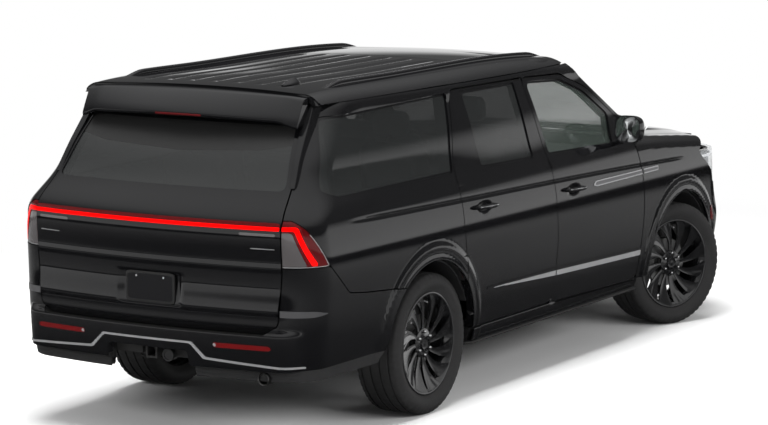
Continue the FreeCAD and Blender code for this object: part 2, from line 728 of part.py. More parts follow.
def chassis_frame(nose, tail):
    """Two box rails with crossmembers, arm brackets, strut towers and the towing receiver."""
    parts = []
    for side in (1, -1):
        parts.append(slab_between(-1200, 4180, RAIL_IN, RAIL_OUT, RAIL_LOW, RAIL_HIGH, side))
        for x, rise in ((0.0, REAR_RISE), (WHEELBASE, FRONT_RISE)):
            low = TYRE_R - rise - ARM_T - 6
            parts.append(slab_between(x - ARM_SPAN - 10, x + ARM_SPAN + 10, RAIL_IN, RAIL_OUT,
                                      low, RAIL_LOW + 1, side))
        parts.append(slab_between(WHEELBASE - ARM_SPAN - 10, WHEELBASE + ARM_SPAN + 10, RAIL_IN,
                                  RAIL_OUT, RAIL_HIGH - 1, FRONT_STRUT_TOP + 30, side))
        parts.append(slab_between(WHEELBASE - 60, WHEELBASE + 60, RAIL_IN, STRUT_Y + 50,
                                  FRONT_STRUT_TOP + FIT, FRONT_STRUT_TOP + 30, side))
        for x in BODY_MOUNTS:
            parts.append(Part.makeCylinder(36, FLOOR_Z - FIT - RAIL_HIGH + 1,
                                           V(x, side * (RAIL_IN + 30), RAIL_HIGH - 1)))
    for x in (-1200, 1100, 2330, 3860):
        parts.append(box(x, x + 90, 5 - RAIL_OUT, RAIL_OUT - 5, RAIL_LOW, RAIL_HIGH))
    for x, rise in ((0.0, REAR_RISE), (WHEELBASE, FRONT_RISE)):
        low = TYRE_R - rise - ARM_T - 6
        parts.append(box(x - 160, x + 160, 5 - RAIL_OUT, RAIL_OUT - 5, low, low + CRADLE_T))
    shape = parts[0]
    for piece in parts[1:]:
        shape = shape.fuse(piece)
    shape = shape.cut(nose.slab(-100.0, BUMPER_T + NOSE_FIT))
    wide = GRILLE_HALF + SHUT - FIT
    beam = nose.slab(BUMPER_T + NOSE_FIT, 62).common(
        prism([(-wide, 425, 20), (-wide, 1060, 40), (wide, 1060, 40), (wide, 425, 20)], "x",
              3800, 4400))
    window = [(-520, 600, 30), (-520, 1000, 30), (520, 1000, 30), (520, 600, 30)]
    shape = shape.fuse(beam.cut(prism(window, "x", 3800, 4400)))
    out = HITCH_OUT / 2
    receiver = box(HITCH_END, -1150, -out, out, HITCH_Z - out, HITCH_Z + out)
    bar = box(-1340, -1199, -520, 520, HITCH_Z - 24, HITCH_Z + 36)
    bar = bar.cut(tail.slab(-200.0, BUMPER_T + NOSE_FIT))
    bar = bar.cut(box(-1340, -1240, -PIN_ROOM, PIN_ROOM, 400, 600))
    shape = shape.fuse(bar).fuse(receiver)
    hole = HITCH_IN / 2
    shape = shape.cut(box(HITCH_END - 5, -1168, -hole, hole, HITCH_Z - hole, HITCH_Z + hole))
    pin_x = HITCH_END + HITCH_PIN_AT
    pin = tube(V(pin_x, -PIN_ROOM, HITCH_Z), V(pin_x, PIN_ROOM, HITCH_Z), HITCH_PIN / 2)
    shape = shape.cut(pin)
    shape = shape.cut(tube(V(1000, 0, SHAFT_Z), V(2479, 0, SHAFT_Z), SHAFT_R + 12))
    return shape.cut(tube(V(0, -900, TYRE_R), V(0, 900, TYRE_R), 32)).removeSplitter()


def floor_pan(flank, tail, hood):
    """Floor with its front wall, the cowl under the screen, sills and the rear sill."""
    floor = prism([(-1130, -FLOOR_HALF, 0), (2765, -FLOOR_HALF, 0), (2765, FLOOR_HALF, 0),
                   (-1130, FLOOR_HALF, 0), (-1235, 740, 0), (-1235, -740, 0)], "z", FLOOR_Z,
                  FLOOR_Z + FLOOR_T)
    wall = box(2740, 2765, -FLOOR_HALF, FLOOR_HALF, FLOOR_Z, 1290)
    cowl = prism([(2740, -FLOOR_HALF, 0), (2836, -840, 0), (2916, 0, 3000), (2836, 840, 0),
                  (2740, FLOOR_HALF, 0)], "z", 1289, 1312 - FIT)
    hinge = box(2760, 2925, 560, 596, 1225, 1300).cut(hood.slab(-200.0, HOOD_T + FIT))
    shape = floor.fuse(wall).fuse(cowl).fuse(hinge).fuse(mirrored(hinge))
    sill_web = box(500, 2765, SILL_WEB, SILL_WEB + 14, 396, FLOOR_Z + 1)
    flange = box(500, 2765, -960, SILL_WEB + 14, 396, 436).cut(flank.slab(-60.0, FRAME_T + FIT))
    near = [piece for piece in flange.Solids if piece.CenterOfMass.y > -900]
    for piece in [sill_web] + near:
        shape = shape.fuse(piece).fuse(mirrored(piece))
    back = tail.slab(GATE_T + 6, 120).common(box(-1400, -1180, -700, 700, FLOOR_Z, 690))
    catch = tail.slab(GATE_T + FIT, 70).common(box(-1400, -1180, -40, 40, 655, 685))
    shape = shape.fuse(back).fuse(catch)
    for side in (1, -1):
        low, high = sorted((side * 690, side * 990))
        shape = shape.cut(Part.makeCylinder(ARCH_R, high - low, V(0, low, TYRE_R), V(0, 1, 0)))
    return shape.removeSplitter()


def wheel_liner(x, side, inner):
    """Curved wall over a wheel with its inner wall, notched round the strut tower."""
    low, high = sorted((side * inner, side * 966))
    ring = Part.makeCylinder(ARCH_R - FIT, high - low, V(x, low, TYRE_R), V(0, 1, 0))
    ring = ring.cut(Part.makeCylinder(ARCH_R - 10, high - low, V(x, low, TYRE_R), V(0, 1, 0)))
    w0, w1 = sorted((side * inner, side * (inner + 8)))
    wall = Part.makeCylinder(ARCH_R - FIT, w1 - w0, V(x, w0, TYRE_R), V(0, 1, 0))
    if inner < STRUT_Y:
        notch = ARM_SPAN + 20
        wall = wall.cut(box(x - notch, x + notch, w0, w1, 0, FRONT_STRUT_TOP + 40))
    upper = box(x - 600, x + 600, -1000, 1000, FLOOR_Z + FLOOR_T + FIT, 1000)
    return ring.fuse(wall).common(upper)


def seat(x, y, width, base):
    """One padded chair: cushion, back and head rest on a low stand."""
    low = FLOOR_Z + FLOOR_T + FIT
    stand_block = box(x - 190, x + 190, y - width * 0.38, y + width * 0.38, low, base + 1)
    cushion = box(x - 240, x + 270, y - width / 2, y + width / 2, base, base + 130)
    back = prism([(x - 240, base + 60, 30), (x - 130, base + 60, 10), (x - 270, base + 700, 60),
                  (x - 390, base + 690, 60)], "y", y - width / 2, y + width / 2)
    rest = prism([(x - 300, base + 690, 10), (x - 270, base + 880, 40), (x - 390, base + 880, 40),
                  (x - 390, base + 680, 10)], "y", y - width * 0.25, y + width * 0.25)
    return stand_block.fuse(cushion).fuse(back).fuse(rest).removeSplitter()


def dashboard():
    profile = [(2739.7, 860, 10), (2739.7, 1240, 10), (2420, 1215, 60), (2330, 1110, 60),
               (2400, 900, 80)]
    dash = prism(profile, "y", -840, 840)
    console = box(1560, 2460, -150, 150, FLOOR_Z + FLOOR_T + FIT, 905)
    bore = aimed(Part.makeCylinder(COLUMN_R + FIT, 2 * COLUMN_L, V(0, 0, -2 * COLUMN_L)))
    return dash.fuse(console).cut(bore).removeSplitter()


def aimed(shape):
    """Move a shape made about the Z axis onto the steering column's line."""
    shape.rotate(V(0, 0, 0), V(0, 0, 1), -90)
    shape.rotate(V(0, 0, 0), V(0, 1, 0), COLUMN_TILT - 90)
    shape.translate(V(*STEERING_AT))
    return shape


def steering_wheel():
    """Wheel with three spokes on a column that enters the dashboard."""
    around = [(185 + 15 * math.cos(math.radians(t)), 15 * math.sin(math.radians(t)))
              for t in range(0, 360, 45)]
    wire = Part.makePolygon([V(r, 0, z) for r, z in around + around[:1]])
    rim = Part.Face(wire).revolve(V(0, 0, 0), V(0, 0, 1), 360)
    hub = Part.makeCylinder(60, 40, V(0, 0, -45))
    spokes = box(-178, 178, -17, 17, -22, -6).fuse(box(-17, 17, -178, 0, -22, -6))
    column = Part.makeCylinder(COLUMN_R, COLUMN_L, V(0, 0, -44 - COLUMN_L))
    return aimed(rim.fuse(hub).fuse(spokes).fuse(column).removeSplitter())


def roof_rail(side, roof):
    """Long rail standing on the roof, tapered at both ends."""
    def bottom(x):
        return ROOF(x) - ROOF_CROWN * RAIL_Y ** 2 - 4.0
    xs = spread((-680, 2000, 12))
    lower = [V(x, 0, bottom(x)) for x in xs]
    upper = [V(x, 0, bottom(x) + 10 + 26 * ease(x, -680, -480) * ease(2000 - x, 0, 260))
             for x in xs]
    bottom_edge, top_edge = Part.BSplineCurve(), Part.BSplineCurve()
    bottom_edge.interpolate(lower)
    top_edge.interpolate(upper)
    wire = Part.Wire([bottom_edge.toShape(), Part.LineSegment(lower[-1], upper[-1]).toShape(),
                      top_edge.toShape(), Part.LineSegment(upper[0], lower[0]).toShape()])
    rail = Part.Face(wire).extrude(V(0, 34, 0))
    rail.translate(V(0, side * RAIL_Y - 17, 0))
    return rail.cut(roof.slab(-ROOF_FIT, ROOF_T))


def side_step(side):
    low, high = sorted((side * 868, side * 990))
    top = SILL_Z - FIT
    return prism([(440, top - 18, 8), (440, top, 5), (2700, top, 5), (2780, top - 18, 8)],
                 "y", low, high)


def running_gear():
    cradle = TYRE_R - FRONT_RISE - ARM_T - 6 + CRADLE_T
    engine = box(3090, 3740, -290, 290, cradle + FIT, 1010)
    gearbox = prism([(2480, 360, 30), (2480, 520, 30), (3089.7, 556, 0), (3089.7, 300, 0)], "y",
                    -150, 150)
    shaft = tube(V(132, 0, SHAFT_Z), V(2480 - FIT, 0, SHAFT_Z), SHAFT_R)
    casing = tube(V(0, -130, TYRE_R), V(0, 130, TYRE_R), 92).fuse(
        tube(V(0, 0, SHAFT_Z), V(132 - FIT, 0, SHAFT_Z), 58))
    seat_z = TYRE_R - REAR_RISE - ARM_T - 6 + CRADLE_T + FIT
    casing = casing.fuse(box(-50, 50, -90, 90, seat_z, TYRE_R - 60)).removeSplitter()
    halves = [tube(V(0, side * 130.3, TYRE_R), V(0, side * (WHEEL_Y - 80.3), TYRE_R), 18)
              for side in (1, -1)]
    return engine, [gearbox, shaft, casing] + halves


def mirror_housing(side):
    shape = prism([(2300, 1345, 40), (2300, 1490, 50), (2380, 1500, 50), (2430, 1420, 50),
                   (2400, 1345, 30)], "y", -1195, -1015)
    foot = prism([(2368, 1300, 10), (2368, 1352, 5), (2424, 1352, 5), (2414, 1300, 10)], "y",
                 -1060, -952)
    shape = shape.fuse(foot).removeSplitter()
    return shape if side < 0 else mirrored(shape)


def handle(x, z):
    """Door handle: a bar on two feet."""
    out = -half_width(x, z)
    bar = prism([(x - 125, z - 11, 10), (x - 125, z + 11, 10), (x + 125, z + 11, 10),
                 (x + 125, z - 11, 10)], "y", out - 44, out - 22)
    for dx in (-95, 95):
        bar = bar.fuse(box(x + dx - 14, x + dx + 14, out - 30, out + 20, z - 9, z + 9))
    return bar


def spoiler():
    """Blade over the rear glass, bowed in plan and crowned with the roof."""
    root = -869.0
    profile = [(root, 1850), (root, 1899), (-958, 1897), (-1068, 1780), (-1064, 1768), (-950, 1778),
               (-880, 1812)]
    wires = []
    for y in spread((-SPOILER_HALF, SPOILER_HALF, 6)):
        reach = 1.0 - SPOILER_BOW * (y / SPOILER_HALF) ** 2
        points = [V(root + (x - root) * reach, y, z - ROOF_CROWN * y * y) for x, z in profile]
        wires.append(Part.makePolygon(points + points[:1]))
    return Part.makeLoft(wires, True, False)


def build():
    flank = flank_skin()
    tail = tail_skin()
    roof = roof_skin()
    fend = fender_skin()
    hood = hood_skin()
    nose = nose_skin()
    screen = screen_skin()

    frame = side_frame(flank, screen, fend)
    lamp = flank.slab(3, 60).common(lamp_zone()).cut(
        prism(GATE_OUTLINE, "x", -1700, -500, grow=SHUT / 2))
    frame = frame.cut(flank.slab(-15, 64).common(lamp_zone()))
    fr_door = door(flank, FRONT_DOOR, FRONT_PANE).fuse(handle(1724, 1098))
    fr_door = fr_door.fuse(mirror_housing(-1))
    re_door = door(flank, REAR_DOOR, REAR_PANE).fuse(handle(591, 1129))
    panels = {"side_frame": frame, "front_door": fr_door, "rear_door": re_door,
              "front_door_glass": pane(flank, FRONT_PANE),
              "rear_door_glass": pane(flank, REAR_PANE),
              "quarter_glass": pane(flank, QUARTER_PANE),
              "tail_lamp": lamp, "fender": fender(fend)}
    for name, shape in panels.items():
        keep(name + "_right", shape)
        keep(name + "_left", mirrored(shape))
    keep("roof_panel", roof_panel(roof))
    keep("hood", hood_panel(hood))
    keep("rear_bumper", rear_bumper(tail))
    keep("tailgate", tailgate(tail).fuse(spoiler()))
    keep("tailgate_glass", tail.slab(GLASS_SET, GLASS_SET + GLASS_T).common(
        prism(GATE_GLASS, "x", -1700, -500, grow=-GLASS_FIT)))
    keep("light_bar", light_bar(tail))
    keep("front_bumper", front_bumper(nose))
    keep("grille", grille(nose))
    lamp_shape = headlamp(nose)
    keep("headlamps", *both(lamp_shape))
    glass = screen.slab(0, SCREEN_T).common(prism(
        [(-922, 1312, 30), (-770, 1862, 60), (770, 1862, 60), (922, 1312, 30)], "x", 1500, 3300))
    keep("windscreen", glass.cut(prism(ROOF_SIDE, "y", -1000, 1000, grow=SHUT / 2)))
    for label, x in (("front", WHEELBASE), ("rear", 0.0)):
        for hand, side in (("left", 1), ("right", -1)):
            tyre, rim = wheel_parts(x, side)
            rise, ball_y = (FRONT_RISE, WHEEL_Y) if x else (REAR_RISE, WHEEL_Y - 60)
            upright = knuckle(x, side, rise, ball_y)
            if label == "front":
                tyre, rim, upright = steer(tyre, side), steer(rim, side), steer(upright, side)
            keep(f"knuckle_{label}_{hand}", upright)
            keep(f"tyre_{label}_{hand}", tyre)
            keep(f"rim_{label}_{hand}", rim)
    keep("chassis_frame", chassis_frame(nose, tail))
    keep("floor_pan", floor_pan(flank, tail, hood))
    rear_top = FLOOR_Z - 8
    for label, axle in (("front", (WHEELBASE, FRONT_RISE, WHEEL_Y, 0.0, FRONT_STRUT_TOP)),
                        ("rear", (0.0, REAR_RISE, WHEEL_Y - 60, 80.0, rear_top))):
        arms = [piece for side in (1, -1)
                for piece in suspension(axle[0], side, axle[1], axle[2], axle[3], axle[4])]
        keep(f"{label}_suspension", *arms)
    keep("wheel_liners", *[wheel_liner(x, side, inner) for x, inner in ((WHEELBASE, 470),
                                                                       (0.0, 690))
                           for side in (1, -1)])
    engine, line = running_gear()
    keep("engine_block", engine)
    keep("driveline", *line)
    keep("front_seats", seat(1780, 420, 540, 800), seat(1780, -420, 540, 800))
    keep("middle_seats", seat(850, 420, 540, 800), seat(850, -420, 540, 800))
    keep("rear_seats", seat(-150, 0, 1150, 800))
    keep("dashboard", dashboard())
    keep("steering_wheel", steering_wheel())
    keep("roof_rails", roof_rail(1, roof), roof_rail(-1, roof))
    keep("side_steps", side_step(1), side_step(-1))


def write():
    os.makedirs("parts", exist_ok=True)
    for name, shape in NODES.items():
        moved = shape.copy()
        moved.translate(V(REAR_AXLE, 0, 0))
        moved.exportStep(f"parts/{name}.step")
        print(name, moved.isValid(), len(moved.Solids), round(moved.Volume / 1e6, 2))


build()
write()
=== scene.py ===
"""Long family SUV dressed for its portrait: paint, glass, lamps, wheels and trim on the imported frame."""
import logging
import math
from dataclasses import dataclass, field
from enum import Enum
from typing import Callable, Iterable, Optional, Sequence

import bmesh
import bpy
import numpy as np
from mathutils import Matrix, Vector


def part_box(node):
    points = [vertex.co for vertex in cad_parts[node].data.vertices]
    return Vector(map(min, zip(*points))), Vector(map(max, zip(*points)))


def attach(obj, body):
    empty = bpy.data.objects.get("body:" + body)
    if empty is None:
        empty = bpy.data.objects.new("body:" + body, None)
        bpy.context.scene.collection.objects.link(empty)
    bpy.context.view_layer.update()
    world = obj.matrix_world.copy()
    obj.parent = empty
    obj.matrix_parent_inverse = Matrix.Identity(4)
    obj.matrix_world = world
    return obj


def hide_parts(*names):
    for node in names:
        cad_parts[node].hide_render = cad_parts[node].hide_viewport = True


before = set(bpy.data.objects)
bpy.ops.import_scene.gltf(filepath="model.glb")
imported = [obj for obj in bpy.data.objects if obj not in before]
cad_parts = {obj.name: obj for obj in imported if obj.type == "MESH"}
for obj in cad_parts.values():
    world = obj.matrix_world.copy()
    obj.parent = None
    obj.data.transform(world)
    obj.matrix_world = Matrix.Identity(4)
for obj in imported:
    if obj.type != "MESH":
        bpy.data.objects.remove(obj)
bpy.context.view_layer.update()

LOG = logging.getLogger("suv")
MM = 0.001
REAR_AXLE = -1425.0
WHEELBASE = 3343.0
WHEEL_Y = 853.0
AXLE_Z = 407.5
STEERED = math.radians(20.8)

Outline = Sequence[tuple[float, ...]]
Array = np.ndarray


# Form of the body


class Law:
    """A smooth curve through knots, straight past its ends."""

    def __init__(self, *knots: tuple[float, float]) -> None:
        """Solve the curve's bends.

        Args:
            knots: Pairs of place and value, in rising order of place.
        """
        self.u = np.array([k[0] for k in knots], float)
        self.v = np.array([k[1] for k in knots], float)
        self.h = np.diff(self.u)
        n = len(knots)
        system = np.eye(n)
        rest = np.zeros(n)
        slopes = np.diff(self.v) / self.h
        for i in range(1, n - 1):
            system[i, i - 1:i + 2] = self.h[i - 1], 2 * (self.h[i - 1] + self.h[i]), self.h[i]
            rest[i] = 6.0 * (slopes[i] - slopes[i - 1])
        self.bend = np.linalg.solve(system, rest)
        self.first = slopes[0] - self.h[0] * self.bend[1] / 6.0
        self.last = slopes[-1] + self.h[-1] * self.bend[-2] / 6.0

    def __call__(self, u: Array) -> Array:
        """Values of the curve at places u."""
        u = np.asarray(u, float)
        i = np.clip(np.searchsorted(self.u, u, side="right") - 1, 0, len(self.h) - 1)
        h = self.h[i]
        a = (self.u[i + 1] - u) / h
        b = 1.0 - a
        inner = a * self.v[i] + b * self.v[i + 1]
        inner = inner + ((a ** 3 - a) * self.bend[i] + (b ** 3 - b) * self.bend[i + 1]) * h * h / 6.0
        low = self.v[0] + self.first * (u - self.u[0])
        high = self.v[-1] + self.last * (u - self.u[-1])
        return np.where(u < self.u[0], low, np.where(u > self.u[-1], high, inner))


def ease(u: Array, low: float, high: float) -> Array:
    """Smooth step from 0 at low to 1 at high."""
    t = np.clip((u - low) / (high - low), 0.0, 1.0)
    return t * t * (3.0 - 2.0 * t)


def meet(a: Array, b: Array, radius: float) -> Array:
    """Inside of both fields, with their common edge rounded."""
    corner = np.hypot(np.maximum(a + radius, 0.0), np.maximum(b + radius, 0.0))
    return np.minimum(np.maximum(a, b), -radius) + corner


class Form:
    """The body's outer form as fields that are negative inside, in millimetres from the rear axle."""

    SECTION = Law((300, 936), (400, 964), (520, 985), (700, 1001), (860, 1008), (1000, 1011),
                  (1090, 1008), (1180, 998), (1260, 982), (1345, 959), (1560, 919), (1740, 879),
                  (1900, 843))
    TAIL = Law((380, -1335), (700, -1350), (900, -1346), (1050, -1352), (1200, -1358),
               (1255, -1345), (1300, -1310), (1386, -1226), (1560, -1100), (1720, -968),
               (1860, -860))
    ROOF = Law((-1100, 1886), (-958, 1901), (0, 1921), (900, 1927), (1700, 1910), (2100, 1876),
               (2400, 1830))
    SCREEN = Law((1200, 3080), (1290, 2950), (1600, 2440), (1880, 1990), (1950, 1885))
    HOOD = Law((2700, 1352), (2900, 1340), (3300, 1305), (3800, 1253), (4100, 1206), (4230, 1182))
    NOSE = Law((300, 4150), (420, 4215), (560, 4245), (680, 4243), (800, 4200), (924, 4158),
               (1060, 4145), (1160, 4140), (1260, 4130))
    GROOVE = Law((-1000, 1223), (-866, 1220), (325, 1195), (1472, 1172), (2713, 1137), (3435, 1110))
    ROOF_END = 2000.0
    BOW = 9.0 / 1500.0 ** 2
    BOW_MID = 1400.0
    TAIL_CROWN = 105e-6
    ROOF_CROWN = 39e-6
    SCREEN_CROWN = 125e-6
    HOOD_CROWN = 62e-6
    NOSE_CROWN = 130e-6
    REAR_CORNER = 165.0
    CANT_R = 90.0
    NOSE_CORNER = 250.0
    SHOULDER_R = 62.0
    SCREEN_R = 40.0
    ARCH_R = 486.0
    LIP_R = 590.0
    LIP_OUT = 14.0
    GROOVE_DEEP = 5.0

    def half_width(self, x: Array, z: Array) -> Array:
        """Distance of the flank from the centre plane, with arch lips and shoulder groove."""
        lean = ease(z, 1250, 1500) * (46.0 * ease(900.0 - x, 0, 2100) + 30.0 * ease(x, 1200, 2600))
        base = self.SECTION(z) - self.BOW * (x - self.BOW_MID) ** 2 - lean
        return base + self.lips(x, z) - self.groove(x, z)

    def lips(self, x: Array, z: Array) -> Array:
        """How far the wheel arch lips stand out."""
        near = np.minimum(np.hypot(x, z - AXLE_Z), np.hypot(x - WHEELBASE, z - AXLE_Z))
        rise = self.LIP_OUT * ease(self.LIP_R - near, 0.0, 34.0)
        hollow = 3.5 * np.sin(np.pi * np.clip((near - self.ARCH_R - 8) / 70.0, 0, 1)) ** 2
        return rise - hollow

    def groove(self, x: Array, z: Array) -> Array:
        """Depth of the thin shoulder groove, which tapers out at both ends."""
        away = (z - self.GROOVE(x)) / 9.0
        taper = ease(x, -900, -500) * ease(3440.0 - x, 0, 300)
        return self.GROOVE_DEEP * taper * np.exp(-away ** 2)

    @staticmethod
    def steepness(law: Law, z: Array) -> Array:
        """Factor that turns a distance along X into one square to the law's curve."""
        return 1.0 / np.hypot(1.0, (law(z + 5.0) - law(z - 5.0)) / 10.0)

    def tail(self, x: Array, y: Array, z: Array) -> Array:
        """Field of the tail's face."""
        return (self.TAIL(z) + self.TAIL_CROWN * y * y - x) * self.steepness(self.TAIL, z)

    def roof(self, x: Array, y: Array, z: Array) -> Array:
        """Field of the roof."""
        return z - self.ROOF(x) + self.ROOF_CROWN * y * y

    def screen(self, x: Array, y: Array, z: Array) -> Array:
        """Field of the windscreen."""
        return (x - self.SCREEN(z) + self.SCREEN_CROWN * y * y) * self.steepness(self.SCREEN, z)

    def cabin(self, x: Array, y: Array, z: Array) -> Array:
        """Field of the body behind the windscreen."""
        walls = meet(np.abs(y) - self.half_width(x, z), self.tail(x, y, z), self.REAR_CORNER)
        return meet(walls, self.roof(np.minimum(x, self.ROOF_END), y, z), self.CANT_R)

    def top(self, x: Array, y: Array, z: Array) -> Array:
        """Field of the roof between the sides and behind the windscreen."""
        walls = meet(np.abs(y) - self.half_width(x, z), self.roof(x, y, z), self.CANT_R)
        return meet(walls, self.screen(x, y, z), self.SCREEN_R)

    def front(self, x: Array, y: Array, z: Array) -> Array:
        """Field of the front body: fenders, hood and nose."""
        top = z - self.HOOD(x) + self.HOOD_CROWN * y * y
        nose = (x - self.NOSE(z) + self.NOSE_CROWN * y * y) * self.steepness(self.NOSE, z)
        walls = meet(np.abs(y) - self.half_width(x, z), nose, self.NOSE_CORNER)
        return meet(walls, top, self.SHOULDER_R)


FORM = Form()
Field = Callable[[Array, Array, Array], Array]


def cast(form: Field, origins: Array, ways: Array, reach: float) -> Array:
    """Points where rays from inside a field come out of it."""
    low = np.zeros(origins.shape[:-1])
    high = np.full(origins.shape[:-1], reach)
    for _ in range(30):
        mid = 0.5 * (low + high)
        p = origins + ways * mid[..., None]
        inside = form(p[..., 0], p[..., 1], p[..., 2]) < 0.0
        low = np.where(inside, mid, low)
        high = np.where(inside, high, mid)
    return origins + ways * low[..., None]


def outward(form: Field, p: Array) -> Array:
    """Unit normals of a field's surface at points p."""
    slopes = []
    for axis in range(3):
        step = np.zeros(3)
        step[axis] = 1.0
        ahead, behind = p + step, p - step
        slopes.append(form(ahead[..., 0], ahead[..., 1], ahead[..., 2])
                      - form(behind[..., 0], behind[..., 1], behind[..., 2]))
    n = np.stack(slopes, -1)
    return n / np.linalg.norm(n, axis=-1, keepdims=True)


def spread(start: float, end: float, step: float) -> Array:
    """Evenly spaced places from start to end, at most step apart."""
    return np.linspace(start, end, max(2, int(math.ceil(abs(end - start) / step)) + 1))


def xyz(x: Array, y: Array, z: Array) -> Array:
    """Points from their coordinates, any of which may be one number for all."""
    return np.stack(np.broadcast_arrays(x, y, z), -1)


def aimed(turns: Array) -> tuple[Array, Array]:
    """Cosines and sines of angles in degrees."""
    angle = np.radians(turns)
    return np.cos(angle), np.sin(angle)


def rounded(corners: Outline, steps: int = 10) -> Array:
    """Points round an outline whose corners (a, b, radius) are arcs.

    Args:
        corners: The outline's corners, the radius left out where it is sharp.
        steps: Points to an arc.

    Returns:
        The outline as an array of (a, b) points.
    """
    pts: list[Array] = []
    n = len(corners)
    for i in range(n):
        here = np.array(corners[i][:2], float)
        before = np.array(corners[i - 1][:2], float) - here
        after = np.array(corners[(i + 1) % n][:2], float) - here
        radius = corners[i][2] if len(corners[i]) > 2 else 0.0
        back, on = before / np.linalg.norm(before), after / np.linalg.norm(after)
        angle = math.acos(max(-1.0, min(1.0, float(back @ on))))
        if radius <= 0.0 or math.pi - angle < 1e-4:
            pts.append(here)
            continue
        run = min(radius / math.tan(angle / 2), 0.49 * min(np.linalg.norm(before), np.linalg.norm(after)))
        start, end = here + back * run, here + on * run
        for t in np.linspace(0.0, 1.0, steps):
            pts.append((1 - t) ** 2 * start + 2 * t * (1 - t) * here + t ** 2 * end)
    return np.array(pts)


def outside(a: Array, b: Array, corners: Outline, grow: float = 0.0) -> Array:
    """Signed distance from an outline, negative inside it.

    Args:
        a: First coordinates of the points.
        b: Second coordinates of the points.
        corners: The outline's corners with their radii.
        grow: How far the outline is let out.

    Returns:
        One distance for each point.
    """
    ring = rounded(corners)
    best = np.full(a.shape, 1e12)
    inside = np.zeros(a.shape, bool)
    for (x0, y0), (x1, y1) in zip(ring, np.roll(ring, -1, 0)):
        dx, dy = x1 - x0, y1 - y0
        t = np.clip(((a - x0) * dx + (b - y0) * dy) / max(dx * dx + dy * dy, 1e-9), 0.0, 1.0)
        best = np.minimum(best, (a - x0 - t * dx) ** 2 + (b - y0 - t * dy) ** 2)
        crosses = (y0 > b) != (y1 > b)
        if abs(dy) > 1e-9:
            inside ^= crosses & (a < x0 + (b - y0) * dx / dy)
    return np.where(inside, -1.0, 1.0) * np.sqrt(best) - grow


def linked(name: str, data: bpy.types.ID) -> bpy.types.Object:
    """New object with the given data, put in the scene."""
    obj = bpy.data.objects.new(name, data)
    bpy.context.scene.collection.objects.link(obj)
    return obj


def oblong(a0: float, a1: float, b0: float, b1: float, radius: float = 0.0) -> Outline:
    """Outline of an upright rectangle with rounded corners."""
    return [(a0, b0, radius), (a0, b1, radius), (a1, b1, radius), (a1, b0, radius)]


